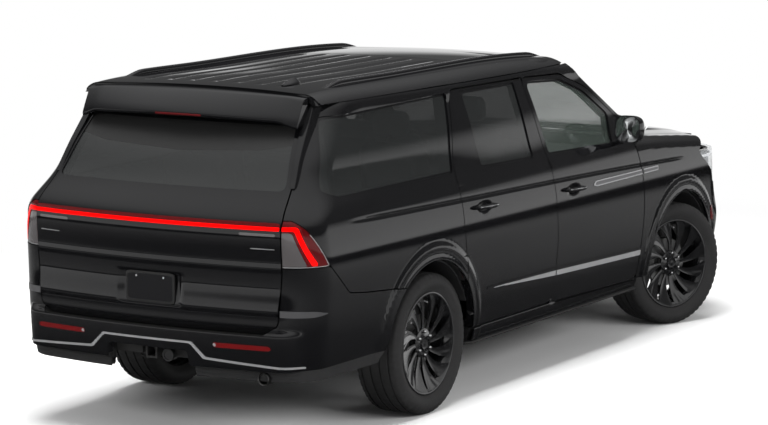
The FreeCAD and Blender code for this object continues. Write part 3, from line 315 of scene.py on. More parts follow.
class Patch:
    """Part of a smooth surface as triangles, in millimetres from the rear axle."""

    # A cut this near to an edge's end, as a share of the edge, moves the end instead of adding a point.
    SNAP = 0.12

    def __init__(self, points: Array, normals: Array, faces: Array) -> None:
        """Keep the points, their normals and the triangles."""
        self.points = points
        self.normals = normals
        self.faces = faces

    @classmethod
    def cast(cls, form: Field, origins: Array, ways: Array, reach: float = 1500.0) -> "Patch":
        """Surface of a field hit by a grid of rays.

        Args:
            form: The field.
            origins: Grid of ray starts, inside the field.
            ways: Grid of unit directions.
            reach: Longest ray.

        Returns:
            The patch with outward normals.
        """
        points = cast(form, origins, ways, reach)
        rows, cols = points.shape[:2]
        grid = np.arange(rows * cols).reshape(rows, cols)
        a, b, c, d = grid[:-1, :-1], grid[1:, :-1], grid[1:, 1:], grid[:-1, 1:]
        faces = np.concatenate([np.stack([a, b, c], -1).reshape(-1, 3),
                                np.stack([a, c, d], -1).reshape(-1, 3)])
        patch = cls(points.reshape(-1, 3), outward(form, points).reshape(-1, 3), faces)
        corner = patch.points[patch.faces]
        flat = np.cross(corner[:, 1] - corner[:, 0], corner[:, 2] - corner[:, 0])
        if np.sum(flat * patch.normals[patch.faces[:, 0]]) < 0:
            patch.faces = patch.faces[:, ::-1]
        return patch

    @property
    def x(self) -> Array:
        """Stations of the points."""
        return self.points[:, 0]

    @property
    def y(self) -> Array:
        """Points' distances left of the centre plane."""
        return self.points[:, 1]

    @property
    def z(self) -> Array:
        """Points' heights."""
        return self.points[:, 2]

    def trim(self, value: Array) -> "Patch":
        """The part of the patch where a value given at each point isn't above zero."""
        sides = value[self.faces] <= 0.0
        count = sides.sum(1)
        total = len(self.points)
        one = self.faces[count == 1]
        two = self.faces[count == 2]
        turn = np.arange(3)[None, :]
        one = np.take_along_axis(one, (sides[count == 1].argmax(1)[:, None] + turn) % 3, 1)
        two = np.take_along_axis(two, (sides[count == 2].argmin(1)[:, None] + turn) % 3, 1)
        pairs = np.concatenate([one[:, [0, 1]], one[:, [0, 2]], two[:, [0, 1]], two[:, [0, 2]]])
        if not len(pairs):
            return self.tidy(self.points, self.normals, self.faces[count == 3])
        low, high = pairs.min(1), pairs.max(1)
        keys, place = np.unique(low.astype(np.int64) * total + high, return_inverse=True)
        low, high = keys // total, keys % total
        t = (value[low] / (value[low] - value[high]))[:, None]
        cut = self.points[low] * (1 - t) + self.points[high] * t
        lean = self.normals[low] * (1 - t) + self.normals[high] * t
        lean /= np.linalg.norm(lean, axis=1)[:, None]
        points = np.concatenate([self.points, cut])
        normals = np.concatenate([self.normals, lean])
        number = total + np.arange(len(cut))
        for near, corner in ((t[:, 0] < self.SNAP, low), (t[:, 0] > 1.0 - self.SNAP, high)):
            number[near] = corner[near]
            points[corner[near]] = cut[near]
            normals[corner[near]] = lean[near]
        place = number[place.reshape(-1)]
        n1, n2 = len(one), len(two)
        ab, ac = place[:n1], place[n1:2 * n1]
        cd, ce = place[2 * n1:2 * n1 + n2], place[2 * n1 + n2:]
        faces = np.concatenate([self.faces[count == 3], np.stack([one[:, 0], ab, ac], 1),
                                np.stack([cd, two[:, 1], two[:, 2]], 1),
                                np.stack([cd, two[:, 2], ce], 1)])
        real = (faces[:, 0] != faces[:, 1]) & (faces[:, 1] != faces[:, 2]) & (faces[:, 2] != faces[:, 0])
        return self.tidy(points, normals, faces[real])

    @staticmethod
    def tidy(points: Array, normals: Array, faces: Array) -> "Patch":
        """A patch without the points that no triangle uses."""
        used = np.unique(faces)
        renumber = np.full(len(points), -1)
        renumber[used] = np.arange(len(used))
        return Patch(points[used], normals[used], renumber[faces])

    def inside(self, corners: Outline, plane: str = "xz", grow: float = 0.0) -> "Patch":
        """The part inside an outline seen along the axis that isn't in the plane's name."""
        a, b = (self.points[:, "xyz".index(c)] for c in plane)
        return self.trim(outside(a, b, corners, grow))

    def without(self, corners: Outline, plane: str = "xz", grow: float = 0.0) -> "Patch":
        """The part outside an outline seen along the axis that isn't in the plane's name."""
        a, b = (self.points[:, "xyz".index(c)] for c in plane)
        return self.trim(-outside(a, b, corners, grow))

    def finer(self) -> "Patch":
        """The patch with each triangle split into four, so that narrow outlines cut cleanly."""
        total = len(self.points)
        edges = self.edges()
        keys, place = np.unique(edges.min(1) * total + edges.max(1), return_inverse=True)
        low, high = keys // total, keys % total
        lean = self.normals[low] + self.normals[high]
        lean /= np.linalg.norm(lean, axis=1)[:, None]
        ab, bc, ca = (place.reshape(-1) + total).reshape(3, -1)
        a, b, c = self.faces.T
        quarters = [np.stack(corners, 1)
                    for corners in ((a, ab, ca), (ab, b, bc), (ca, bc, c), (ab, bc, ca))]
        return Patch(np.concatenate([self.points, 0.5 * (self.points[low] + self.points[high])]),
                     np.concatenate([self.normals, lean]), np.concatenate(quarters))

    def sunk(self, depth: float) -> "Patch":
        """The patch moved inwards by a depth."""
        return Patch(self.points - self.normals * depth, self.normals, self.faces)

    def mirrored(self) -> "Patch":
        """The patch on the other side of the centre plane."""
        flip = np.array([1.0, -1.0, 1.0])
        return Patch(self.points * flip, self.normals * flip, self.faces[:, ::-1])

    def edges(self) -> Array:
        """Directed edges of all the triangles, their first sides first."""
        return np.concatenate([self.faces[:, pair] for pair in ([0, 1], [1, 2], [2, 0])]).astype(np.int64)

    def border(self) -> Array:
        """Directed edges that have a triangle on one side only."""
        edges = self.edges()
        keys = edges.min(1) * len(self.points) + edges.max(1)
        _, index, counts = np.unique(keys, return_index=True, return_counts=True)
        return edges[index[counts == 1]]

    def build(self, name: str, depth: float = 0.0) -> bpy.types.Object:
        """Make the Blender object, with a rim of the given depth along its border.

        Args:
            name: The piece's name.
            depth: How far the rim goes in; 0 leaves the sheet open.

        Returns:
            The object, smooth-shaded with the form's own normals.
        """
        points, normals, faces = self.points, self.normals, self.faces
        if depth > 0.0:
            edge = self.border()
            a, b = edge[:, 0], edge[:, 1]
            n = len(points)
            k = len(edge)
            way = points[b] - points[a]
            side = np.cross(way, 0.5 * (normals[a] + normals[b]))
            side /= np.maximum(np.linalg.norm(side, axis=1)[:, None], 1e-9)
            ring = [points[a], points[b], points[b] - normals[b] * depth, points[a] - normals[a] * depth]
            points = np.concatenate([points] + ring)
            normals = np.concatenate([normals] + [side] * 4)
            i = np.arange(k)
            quad = [n + i, n + k + i, n + 2 * k + i, n + 3 * k + i]
            rim = np.concatenate([np.stack([quad[1], quad[0], quad[3]], 1),
                                  np.stack([quad[1], quad[3], quad[2]], 1)])
            faces = np.concatenate([faces, rim])
        mesh = bpy.data.meshes.new(name)
        mesh.vertices.add(len(points))
        mesh.vertices.foreach_set("co", ((points + [REAR_AXLE, 0, 0]) * MM).astype(np.float32).ravel())
        mesh.loops.add(faces.size)
        mesh.loops.foreach_set("vertex_index", faces.astype(np.int32).ravel())
        mesh.polygons.add(len(faces))
        mesh.polygons.foreach_set("loop_start", np.arange(0, faces.size, 3, dtype=np.int32))
        mesh.update(calc_edges=True)
        mesh.polygons.foreach_set("use_smooth", np.ones(len(faces), bool))
        mesh.normals_split_custom_set(normals[faces.ravel()])
        return linked(name, mesh)


# Finishes


class Socket(Enum):
    """Kinds of socket on a shader node group."""

    COLOUR = "NodeSocketColor"
    NUMBER = "NodeSocketFloat"
    WAY = "NodeSocketVector"


class Tree:
    """Short way to add and join shader nodes."""

    def __init__(self, nodes: bpy.types.NodeTree) -> None:
        """Work on a node tree."""
        self.tree = nodes

    def add(self, kind: str, **values: object) -> bpy.types.Node:
        """Add a node; keys name its properties, or its inputs with spaces as underscores."""
        node = self.tree.nodes.new(kind)
        for key, value in values.items():
            label = key.replace("_", " ")
            if hasattr(node, key) and key not in node.inputs:
                setattr(node, key, value)
            elif isinstance(value, bpy.types.NodeSocket):
                self.tree.links.new(value, node.inputs[label])
            else:
                node.inputs[label].default_value = value
        return node

    def math(self, operation: str, a: object, b: object = 0.0) -> bpy.types.NodeSocket:
        """Result of a math node on two numbers or sockets."""
        node = self.tree.nodes.new("ShaderNodeMath")
        node.operation = operation
        for place, value in zip(node.inputs, (a, b)):
            if isinstance(value, bpy.types.NodeSocket):
                self.tree.links.new(value, place)
            else:
                place.default_value = value
        return node.outputs[0]

    def ramp(self, value: bpy.types.NodeSocket, *stops: tuple[float, tuple[float, float, float]],
             ) -> bpy.types.NodeSocket:
        """Colour from a value through colour stops."""
        node = self.tree.nodes.new("ShaderNodeValToRGB")
        while len(node.color_ramp.elements) < len(stops):
            node.color_ramp.elements.new(0.5)
        for element, (place, colour) in zip(node.color_ramp.elements, stops):
            element.position = place
            element.color = (*colour, 1.0)
        self.tree.links.new(value, node.inputs[0])
        return node.outputs[0]

    def link(self, source: bpy.types.NodeSocket, node: bpy.types.Node, label: str) -> None:
        """Join a socket to a node's named input."""
        self.tree.links.new(source, node.inputs[label])

    def blend(self, factor: bpy.types.NodeSocket, first: bpy.types.Node,
              second: bpy.types.Node) -> bpy.types.Node:
        """Mix of two shader nodes by a factor."""
        node = self.add("ShaderNodeMixShader", Fac=factor)
        self.tree.links.new(first.outputs[0], node.inputs[1])
        self.tree.links.new(second.outputs[0], node.inputs[2])
        return node


def group(name: str, inputs: dict[str, tuple[Socket, object]], outputs: dict[str, Socket],
          ) -> tuple[bpy.types.NodeTree, Tree, bpy.types.Node, bpy.types.Node]:
    """Start a shader node group.

    Args:
        name: The group's name.
        inputs: Its inputs with their kinds and standing values.
        outputs: Its outputs with their kinds.

    Returns:
        The group, a helper on it, and its input and output nodes.
    """
    tree = bpy.data.node_groups.new(name, "ShaderNodeTree")
    for label, (kind, value) in inputs.items():
        entry = tree.interface.new_socket(name=label, in_out="INPUT", socket_type=kind.value)
        entry.default_value = value
    for label, kind in outputs.items():
        tree.interface.new_socket(name=label, in_out="OUTPUT", socket_type=kind.value)
    helper = Tree(tree)
    return tree, helper, helper.add("NodeGroupInput"), helper.add("NodeGroupOutput")


class Effects:
    """Effects that several finishes share, each a node group built once."""

    def __init__(self) -> None:
        """Build the groups."""
        self.mottle = self.make_mottle()
        self.grain = self.make_grain()
        self.ridges = self.make_ridges()

    @staticmethod
    def make_mottle() -> bpy.types.NodeTree:
        """Group that shades a colour and a roughness unevenly, as dust and wear do."""
        tree, t, start, end = group(
            "uneven_wear",
            {"Colour": (Socket.COLOUR, (0.5, 0.5, 0.5, 1.0)),
             "Dusty Colour": (Socket.COLOUR, (0.5, 0.5, 0.5, 1.0)),
             "Roughness": (Socket.NUMBER, 0.3), "Spread": (Socket.NUMBER, 0.1),
             "Scale": (Socket.NUMBER, 3.0)},
            {"Colour": Socket.COLOUR, "Roughness": Socket.NUMBER})
        place = t.add("ShaderNodeTexCoord").outputs["Object"]
        wide = t.add("ShaderNodeTexNoise", Vector=place, Scale=start.outputs["Scale"], Detail=6.0)
        fine = t.add("ShaderNodeTexNoise", Vector=place, Scale=190.0, Detail=3.0)
        both = t.math("MULTIPLY", wide.outputs["Fac"], fine.outputs["Fac"])
        amount = t.math("MULTIPLY", both, start.outputs["Spread"])
        mix = t.add("ShaderNodeMix", data_type="RGBA")
        tree.links.new(amount, mix.inputs["Factor"])
        tree.links.new(start.outputs["Colour"], mix.inputs["A"])
        tree.links.new(start.outputs["Dusty Colour"], mix.inputs["B"])
        tree.links.new(mix.outputs["Result"], end.inputs["Colour"])
        rough = t.math("ADD", start.outputs["Roughness"], t.math("MULTIPLY", amount, 0.6))
        tree.links.new(rough, end.inputs["Roughness"])
        return tree

    @staticmethod
    def make_grain() -> bpy.types.NodeTree:
        """Group that gives the height of moulded or leather grain."""
        tree, t, start, end = group(
            "surface_grain",
            {"Scale": (Socket.NUMBER, 400.0), "Fine": (Socket.NUMBER, 0.5)}, {"Height": Socket.NUMBER})
        place = t.add("ShaderNodeTexCoord").outputs["Object"]
        cells = t.add("ShaderNodeTexVoronoi", Vector=place, Scale=start.outputs["Scale"])
        noise = t.add("ShaderNodeTexNoise", Vector=place, Scale=start.outputs["Scale"], Detail=4.0)
        fine = t.math("MULTIPLY", noise.outputs["Fac"], start.outputs["Fine"])
        tree.links.new(t.math("ADD", cells.outputs["Distance"], fine), end.inputs["Height"])
        return tree

    @staticmethod
    def make_ridges() -> bpy.types.NodeTree:
        """Group that gives the height of even ridges along one axis."""
        tree, t, start, end = group(
            "even_ridges",
            {"Pitch": (Socket.NUMBER, 0.01), "Direction": (Socket.WAY, (0.0, 1.0, 0.0))},
            {"Height": Socket.NUMBER})
        place = t.add("ShaderNodeTexCoord").outputs["Object"]
        dot = t.add("ShaderNodeVectorMath", operation="DOT_PRODUCT")
        tree.links.new(place, dot.inputs[0])
        tree.links.new(start.outputs["Direction"], dot.inputs[1])
        turns = t.math("DIVIDE", dot.outputs["Value"], start.outputs["Pitch"])
        tree.links.new(t.math("SINE", t.math("MULTIPLY", turns, 2 * math.pi)), end.inputs["Height"])
        return tree


@dataclass(frozen=True)
class Finish:
    """A surface finish: its colours and the values set on its shader's own sockets."""

    name: str
    colour: tuple[float, float, float]
    dusty: tuple[float, float, float]
    roughness: float = 0.3
    spread: float = 0.1
    scale: float = 3.0
    metallic: float = 0.0
    coat: float = 0.0
    coat_rough: float = 0.02
    specular: float = 0.5
    alpha: float = 1.0
    grain: float = 0.0
    grain_scale: float = 400.0
    ridge: float = 0.0
    ridge_pitch: float = 0.01
    glow: float = 0.0
    sheen: float = 0.0

    def make(self, effects: Effects) -> bpy.types.Material:
        """Build the material.

        Args:
            effects: The shared node groups.

        Returns:
            The material.
        """
        material = bpy.data.materials.new(self.name)
        material.use_nodes = True
        material.diffuse_color = (*self.colour, 1.0)
        t = Tree(material.node_tree)
        shader = material.node_tree.nodes["Principled BSDF"]
        wear = t.add("ShaderNodeGroup", node_tree=effects.mottle, Colour=(*self.colour, 1.0),
                     Dusty_Colour=(*self.dusty, 1.0), Roughness=self.roughness, Spread=self.spread,
                     Scale=self.scale)
        t.link(wear.outputs["Colour"], shader, "Base Color")
        t.link(wear.outputs["Roughness"], shader, "Roughness")
        plain = {"Metallic": self.metallic, "Coat Weight": self.coat, "Coat Roughness": self.coat_rough,
                 "Alpha": self.alpha, "Specular IOR Level": self.specular, "Sheen Weight": self.sheen}
        for label, value in plain.items():
            shader.inputs[label].default_value = value
        if self.glow > 0.0:
            t.link(wear.outputs["Colour"], shader, "Emission Color")
            shader.inputs["Emission Strength"].default_value = self.glow
        height = None
        if self.grain > 0.0:
            node = t.add("ShaderNodeGroup", node_tree=effects.grain, Scale=self.grain_scale)
            height, reach = node.outputs["Height"], self.grain
        if self.ridge > 0.0:
            node = t.add("ShaderNodeGroup", node_tree=effects.ridges, Pitch=self.ridge_pitch)
            height, reach = node.outputs["Height"], self.ridge
        if height is not None:
            bump = t.add("ShaderNodeBump", Distance=reach, Strength=1.0)
            t.link(height, bump, "Height")
            t.link(bump.outputs["Normal"], shader, "Normal")
        return material


FINISHES = (
    Finish("paint_black", (0.0035, 0.0035, 0.004), (0.02, 0.02, 0.021), roughness=0.5, spread=0.05, coat=1.0,
           coat_rough=0.012, specular=0.0),
    Finish("gloss_black", (0.004, 0.004, 0.0045), (0.02, 0.02, 0.02), roughness=0.08, spread=0.06),
    Finish("satin_black", (0.012, 0.012, 0.012), (0.04, 0.04, 0.04), roughness=0.38, spread=0.12,
           grain=0.0002, grain_scale=900.0),
    Finish("moulded_black", (0.014, 0.014, 0.0145), (0.05, 0.05, 0.05), roughness=0.6, spread=0.2,
           grain=0.0006, grain_scale=500.0),
    Finish("tyre_rubber", (0.013, 0.013, 0.0135), (0.055, 0.052, 0.05), roughness=0.62, spread=0.35,
           scale=9.0, grain=0.0003, grain_scale=700.0),
    Finish("rim_black", (0.005, 0.005, 0.0055), (0.03, 0.03, 0.03), roughness=0.14, spread=0.1, coat=0.8),
    Finish("lug_chrome", (0.72, 0.72, 0.73), (0.45, 0.45, 0.45), roughness=0.09, metallic=1.0),
    Finish("satin_metal", (0.5, 0.5, 0.51), (0.35, 0.35, 0.35), roughness=0.34, metallic=0.7, spread=0.15),
    Finish("dark_metal", (0.15, 0.15, 0.155), (0.09, 0.09, 0.09), roughness=0.3, metallic=0.8, spread=0.2),
    Finish("cast_metal", (0.13, 0.13, 0.13), (0.07, 0.065, 0.06), roughness=0.55, metallic=0.8, spread=0.5,
           grain=0.0006, grain_scale=250.0),
    Finish("disc_steel", (0.35, 0.35, 0.35), (0.2, 0.19, 0.18), roughness=0.35, metallic=1.0, spread=0.3),
    Finish("frame_paint", (0.012, 0.012, 0.012), (0.045, 0.042, 0.04), roughness=0.5, spread=0.3),
    Finish("glass_tinted", (0.012, 0.013, 0.013), (0.03, 0.032, 0.03), roughness=0.015, spread=0.02,
           alpha=0.93, specular=0.6),
    Finish("glass_clear", (0.10, 0.125, 0.11), (0.14, 0.15, 0.14), roughness=0.012, spread=0.02, alpha=0.32,
           specular=0.6),
    Finish("screen_glass", (0.05, 0.06, 0.055), (0.08, 0.09, 0.085), roughness=0.012, spread=0.02, alpha=0.5,
           specular=0.6),
    Finish("roof_glass", (0.008, 0.009, 0.009), (0.02, 0.02, 0.02), roughness=0.02, spread=0.03),
    Finish("lamp_glow", (0.75, 0.0, 0.0), (0.55, 0.0, 0.0), roughness=0.3, specular=0.1, glow=0.7),
    Finish("lamp_dark", (0.10, 0.002, 0.003), (0.03, 0.003, 0.003), roughness=0.16, coat=0.4, specular=0.2,
           ridge=0.0015, ridge_pitch=0.008),
    Finish("lamp_deep_red", (0.07, 0.0, 0.001), (0.03, 0.002, 0.002), roughness=0.2, coat=0.4, specular=0.2),
    Finish("lamp_smoke", (0.06, 0.055, 0.056), (0.12, 0.11, 0.11), roughness=0.1, coat=0.8, spread=0.3),
    Finish("lamp_clear", (0.5, 0.52, 0.54), (0.6, 0.6, 0.6), roughness=0.06, alpha=0.35),
    Finish("lamp_white", (0.75, 0.76, 0.78), (0.6, 0.6, 0.6), roughness=0.15, coat=0.5, glow=0.05),
    Finish("reflector_red", (0.13, 0.0, 0.001), (0.07, 0.002, 0.002), roughness=0.3, specular=0.2,
           ridge=0.0012, ridge_pitch=0.006),
    Finish("mirror_glass", (0.72, 0.74, 0.75), (0.6, 0.6, 0.6), roughness=0.02, metallic=1.0),
    Finish("signal_white", (0.8, 0.8, 0.8), (0.7, 0.7, 0.7), roughness=0.2, glow=0.15),
    Finish("plate_blank", (0.006, 0.006, 0.007), (0.015, 0.015, 0.015), roughness=0.3, spread=0.1,
           specular=0.25),
    Finish("leather", (0.03, 0.028, 0.026), (0.06, 0.055, 0.05), roughness=0.48, spread=0.3, scale=6.0,
           grain=0.0008, grain_scale=420.0, sheen=0.1),
    Finish("exhaust_metal", (0.25, 0.25, 0.25), (0.12, 0.11, 0.1), roughness=0.3, metallic=1.0, spread=0.5),
)


class Palette:
    """The finishes as materials, built when first used."""

    def __init__(self) -> None:
        """Prepare the shared effects."""
        self.effects = Effects()
        self.table = {finish.name: finish for finish in FINISHES}
        self.made: dict[str, bpy.types.Material] = {}

    def __getitem__(self, name: str) -> bpy.types.Material:
        """The material of a finish."""
        if name not in self.made:
            self.made[name] = self.table[name].make(self.effects)
        return self.made[name]


class Workshop:
    """Dresses pieces and mounts them on the frame's bodies."""

    def __init__(self) -> None:
        """Start with a fresh palette."""
        self.palette = Palette()

    def mount(self, obj: bpy.types.Object, body: str, finish: str, slot: str,
              replaces: Sequence[str] = ()) -> bpy.types.Object:
        """Give a piece its finish and body.

        Args:
            obj: The piece, in place.
            body: The body that it rides on.
            finish: Name of its finish.
            slot: The record's material slot; not used.
            replaces: CAD nodes that it stands for.

        Returns:
            The same piece.
        """
        obj.data.materials.clear()
        obj.data.materials.append(self.palette[finish])
        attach(obj, body)
        if replaces:
            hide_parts(*replaces)
        LOG.info("%s on %s in %s", obj.name, body, finish)
        return obj

    def lay(self, patch: Patch, name: str, body: str, finish: str, slot: str, proud: float, rim: float,
            replaces: Sequence[str] = ()) -> bpy.types.Object:
        """Mount a sheet.

        Args:
            patch: Its outer surface, as the form gives it.
            name: Its name.
            body: The body that it rides on.
            finish: Name of its finish.
            slot: The record's material slot.
            proud: How far it stands out of the form.
            rim: Depth of its edge; 0 leaves the edge open.
            replaces: CAD nodes that it stands for.

        Returns:
            The piece.
        """
        return self.mount(patch.sunk(-proud).build(name, rim), body, finish, slot, replaces)

    def dress(self, node: str, finish: str) -> None:
        """Give a CAD node a finish."""
        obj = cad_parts[node]
        obj.data.materials.clear()
        obj.data.materials.append(self.palette[finish])


class Shape:
    """A mesh under construction, in millimetres from the rear axle."""

    def __init__(self) -> None:
        """Start empty."""
        self.points: list[Array] = []
        self.faces: list[list[int]] = []
        self.size = 0

    def add(self, points: Array, faces: Iterable[Sequence[int]]) -> "Shape":
        """Take in points and faces."""
        base = self.size
        self.points.append(np.asarray(points, float).reshape(-1, 3))
        self.size += len(self.points[-1])
        self.faces += [[base + int(i) for i in face] for face in faces]
        return self

    def grid(self, rows: Array, wrap: bool = False, caps: bool = False) -> "Shape":
        """Take in a grid of points as a sheet, tube or closed bar.

        Args:
            rows: The points as rows by columns by 3.
            wrap: Whether each row closes on itself.
            caps: Whether the first and last rows are closed with a face.

        Returns:
            The shape itself.
        """
        rows = np.asarray(rows, float)
        n, m = rows.shape[:2]
        faces = []
        for i in range(n - 1):
            for j in range(m if wrap else m - 1):
                k = (j + 1) % m
                faces.append((i * m + j, i * m + k, (i + 1) * m + k, (i + 1) * m + j))
        if caps:
            faces.append(tuple(range(m))[::-1])
            faces.append(tuple((n - 1) * m + j for j in range(m)))
        return self.add(rows, faces)

    def spun(self, profile: Outline, count: int, closed: bool = True) -> "Shape":
        """Take in a profile of (along, radius) turned about the Y axis through the origin."""
        angle = np.linspace(0, 2 * math.pi, count, endpoint=False)
        line = np.array(profile, float)
        rows = xyz(line[:, 1:] * np.cos(angle), line[:, :1], line[:, 1:] * np.sin(angle))
        if closed:
            rows = np.concatenate([rows, rows[:1]])
        return self.grid(rows, wrap=True)

    def moved(self, change: Callable[[Array], Array], flip: bool = False) -> "Shape":
        """A copy with its points changed by a function, its faces turned over if asked."""
        other = Shape()
        other.points = [change(np.concatenate(self.points))]
        other.size = self.size
        other.faces = [face[::-1] if flip else list(face) for face in self.faces]
        return other

    def facing(self, way: float, at: Sequence[float]) -> "Shape":
        """A copy of a spun shape with its axis along X, ahead or back by the sign of way, at a place."""
        return self.moved(lambda p: np.stack([way * p[:, 1], p[:, 0], p[:, 2]], -1) + at)

    def build(self, name: str, sharp: float = 32.0, bevel: float = 0.0) -> bpy.types.Object:
        """Make the Blender object.

        Args:
            name: The piece's name.
            sharp: Edges that turn more degrees than this stay sharp.
            bevel: Width of the bevel on sharp edges in millimetres.

        Returns:
            The object.
        """
        mesh = bpy.data.meshes.new(name)
        points = (np.concatenate(self.points) + [REAR_AXLE, 0, 0]) * MM
        mesh.from_pydata(points.tolist(), [], self.faces)
        work = bmesh.new()
        work.from_mesh(mesh)
        bmesh.ops.remove_doubles(work, verts=work.verts, dist=1e-6)
        bmesh.ops.recalc_face_normals(work, faces=work.faces)
        limit = math.radians(sharp)
        for edge in work.edges:
            edge.smooth = len(edge.link_faces) == 2 and edge.calc_face_angle(0.0) < limit
        for face in work.faces:
            face.smooth = True
        work.to_mesh(mesh)
        work.free()
        obj = linked(name, mesh)
        if bevel > 0.0:
            edge_round = obj.modifiers.new("edge_round", "BEVEL")
            edge_round.width = bevel * MM
            edge_round.segments = 2
            edge_round.limit_method = "ANGLE"
            edge_round.angle_limit = limit
            edge_round.harden_normals = True
        return obj


def block(x: tuple[float, float], y: tuple[float, float], z: tuple[float, float]) -> Shape:
    """Box between two corners."""
    pts = np.array([(a, b, c) for a in x for b in y for c in z])
    faces = [(0, 1, 3, 2), (4, 6, 7, 5), (0, 4, 5, 1), (2, 3, 7, 6), (0, 2, 6, 4), (1, 5, 7, 3)]
    return Shape().add(pts, faces)


def oval(half_a: float, half_b: float, count: int = 24, power: float = 2.6) -> Array:
    """Points round a rounded rectangle of the given half sizes."""
    t = np.linspace(0, 2 * math.pi, count, endpoint=False)
    c, s = np.cos(t), np.sin(t)
    return np.stack([half_a * np.sign(c) * np.abs(c) ** (2 / power),
                     half_b * np.sign(s) * np.abs(s) ** (2 / power)], -1)


def lofted(rows: Sequence[Array]) -> Shape:
    """Closed bar through rings of points."""
    return Shape().grid(np.array(rows), wrap=True, caps=True)


def bar(path: Sequence[Sequence[float]], across: Sequence[float], up: Sequence[float],
        section: Callable[[float], Array]) -> Shape:
    """Closed bar along a path.

    Args:
        path: Points of its centre line.
        across: Direction of the section's first axis.
        up: Direction of the section's second axis.
        section: Gives the section's outline for a place from 0 to 1 along the path.

    Returns:
        The shape.
    """
    path, across, up = (np.array(value, float) for value in (path, across, up))
    rows = []
    for i, p in enumerate(path):
        ring = section(i / (len(path) - 1))
        rows.append(p + ring[:, :1] * across + ring[:, 1:] * up)
    return lofted(rows)


def reshaped(patch: Patch, amount: Array) -> Patch:
    """Patch with its points moved out along their normals, and its normals worked out again."""
    points = patch.points + patch.normals * amount[:, None]
    corner = points[patch.faces]
    flat = np.cross(corner[:, 1] - corner[:, 0], corner[:, 2] - corner[:, 0])
    normals = np.zeros_like(points)
    for i in range(3):
        np.add.at(normals, patch.faces[:, i], flat)
    normals /= np.maximum(np.linalg.norm(normals, axis=1)[:, None], 1e-12)
    return Patch(points, normals, patch.faces)


def backed(patch: Patch, depth: float) -> Patch:
    """The patch's inner side at a depth, facing inwards."""
    inner = patch.sunk(depth)
    return Patch(inner.points, -inner.normals, inner.faces[:, ::-1])


# Outlines of the panels, seen from the right side, from behind or from above


DOOR_SPLIT = [(1485, 424, 50), (1522, 800, 300), (1462, 1262, 300), (1286, 1812, 30)]
FRONT_DOOR = DOOR_SPLIT + [(1800, 1794, 300), (2130, 1690, 600), (2560, 1432, 140), (2662, 1230, 300),
                           (2752, 900, 900), (2697, 394, 50)]
REAR_DOOR = DOOR_SPLIT + [(424, 1814, 40), (322, 1352, 500), (344, 1060, 500), (376, 856, 300),
                          (376, 600, 0), (480, 424, 0)]
FRONT_PANE = [(1484, 1332, 22), (1337, 1788, 40), (1800, 1762, 260), (2095, 1664, 500), (2392, 1494, 40),
              (2345, 1306, 20)]
REAR_PANE = [(640, 1346, 22), (552, 1796, 26), (1186, 1794, 26), (1278, 1334, 22)]
QUARTER_PANE = [(306, 1352, 24), (385, 1802, 30), (-836, 1772, 60), (-1030, 1392, 40), (-970, 1366, 60),
                (-890, 1344, 90)]
GATE_RIGHT = [(-729, 645, 60), (-785, 700, 60), (-809, 980, 400), (-808, 1265, 60), (-779, 1386, 500),
              (-700, 1836, 10)]
GATE_EDGE = GATE_RIGHT + [(-y, z, radius) for y, z, radius in GATE_RIGHT[::-1]]
GATE_GLASS = [(-748, 1398, 30), (-672, 1728, 30), (672, 1728, 30), (748, 1398, 30)]
BUMPER_SEAM = [(-1092, 1012, 6), (-894, 838, 40), (-732, 816, 300), (-460, 792, 0), (-150, 760, 0)]
LAMP_SIDE = [(-1600, 1012, 0), (-1092, 1012, 0), (-1216, 1215, 30), (-1252, 1262, 0), (-1600, 1262, 0)]
HOOD_EDGE = [(2858, -850, 40), (2934, 0, 3000), (2858, 850, 40), (3600, 838, 900), (4020, 770, 200),
             (4128, 560, 300), (4150, 0, 3000), (4128, -560, 300), (4020, -770, 200), (3600, -838, 900)]
WING_EDGE = [(2704, 394, 0), (2759, 900, 900), (2669, 1234, 200), (2660, 1260, 10), (2950, 1340, 0),
             (3900, 1340, 0), (3600, 1128, 20), (3812, 980, 40), (3850, 890, 30), (3862, 760, 60),
             (3862, 380, 0)]
SHUT = 7.0


class Side(Enum):
    """Sides of the vehicle."""

    RIGHT = -1.0
    LEFT = 1.0

    @property
    def label(self) -> str:
        """The side's name in lower case."""
        return self.name.lower()

    def span(self, near: float, far: float) -> list[float]:
        """Two distances from the centre plane as places across the vehicle, in rising order."""
        return sorted((self.value * near, self.value * far))


def placed(patch: Patch, side: Side) -> Patch:
    """A patch made on the right side, moved to the given side."""
    return patch if side is Side.RIGHT else patch.mirrored()


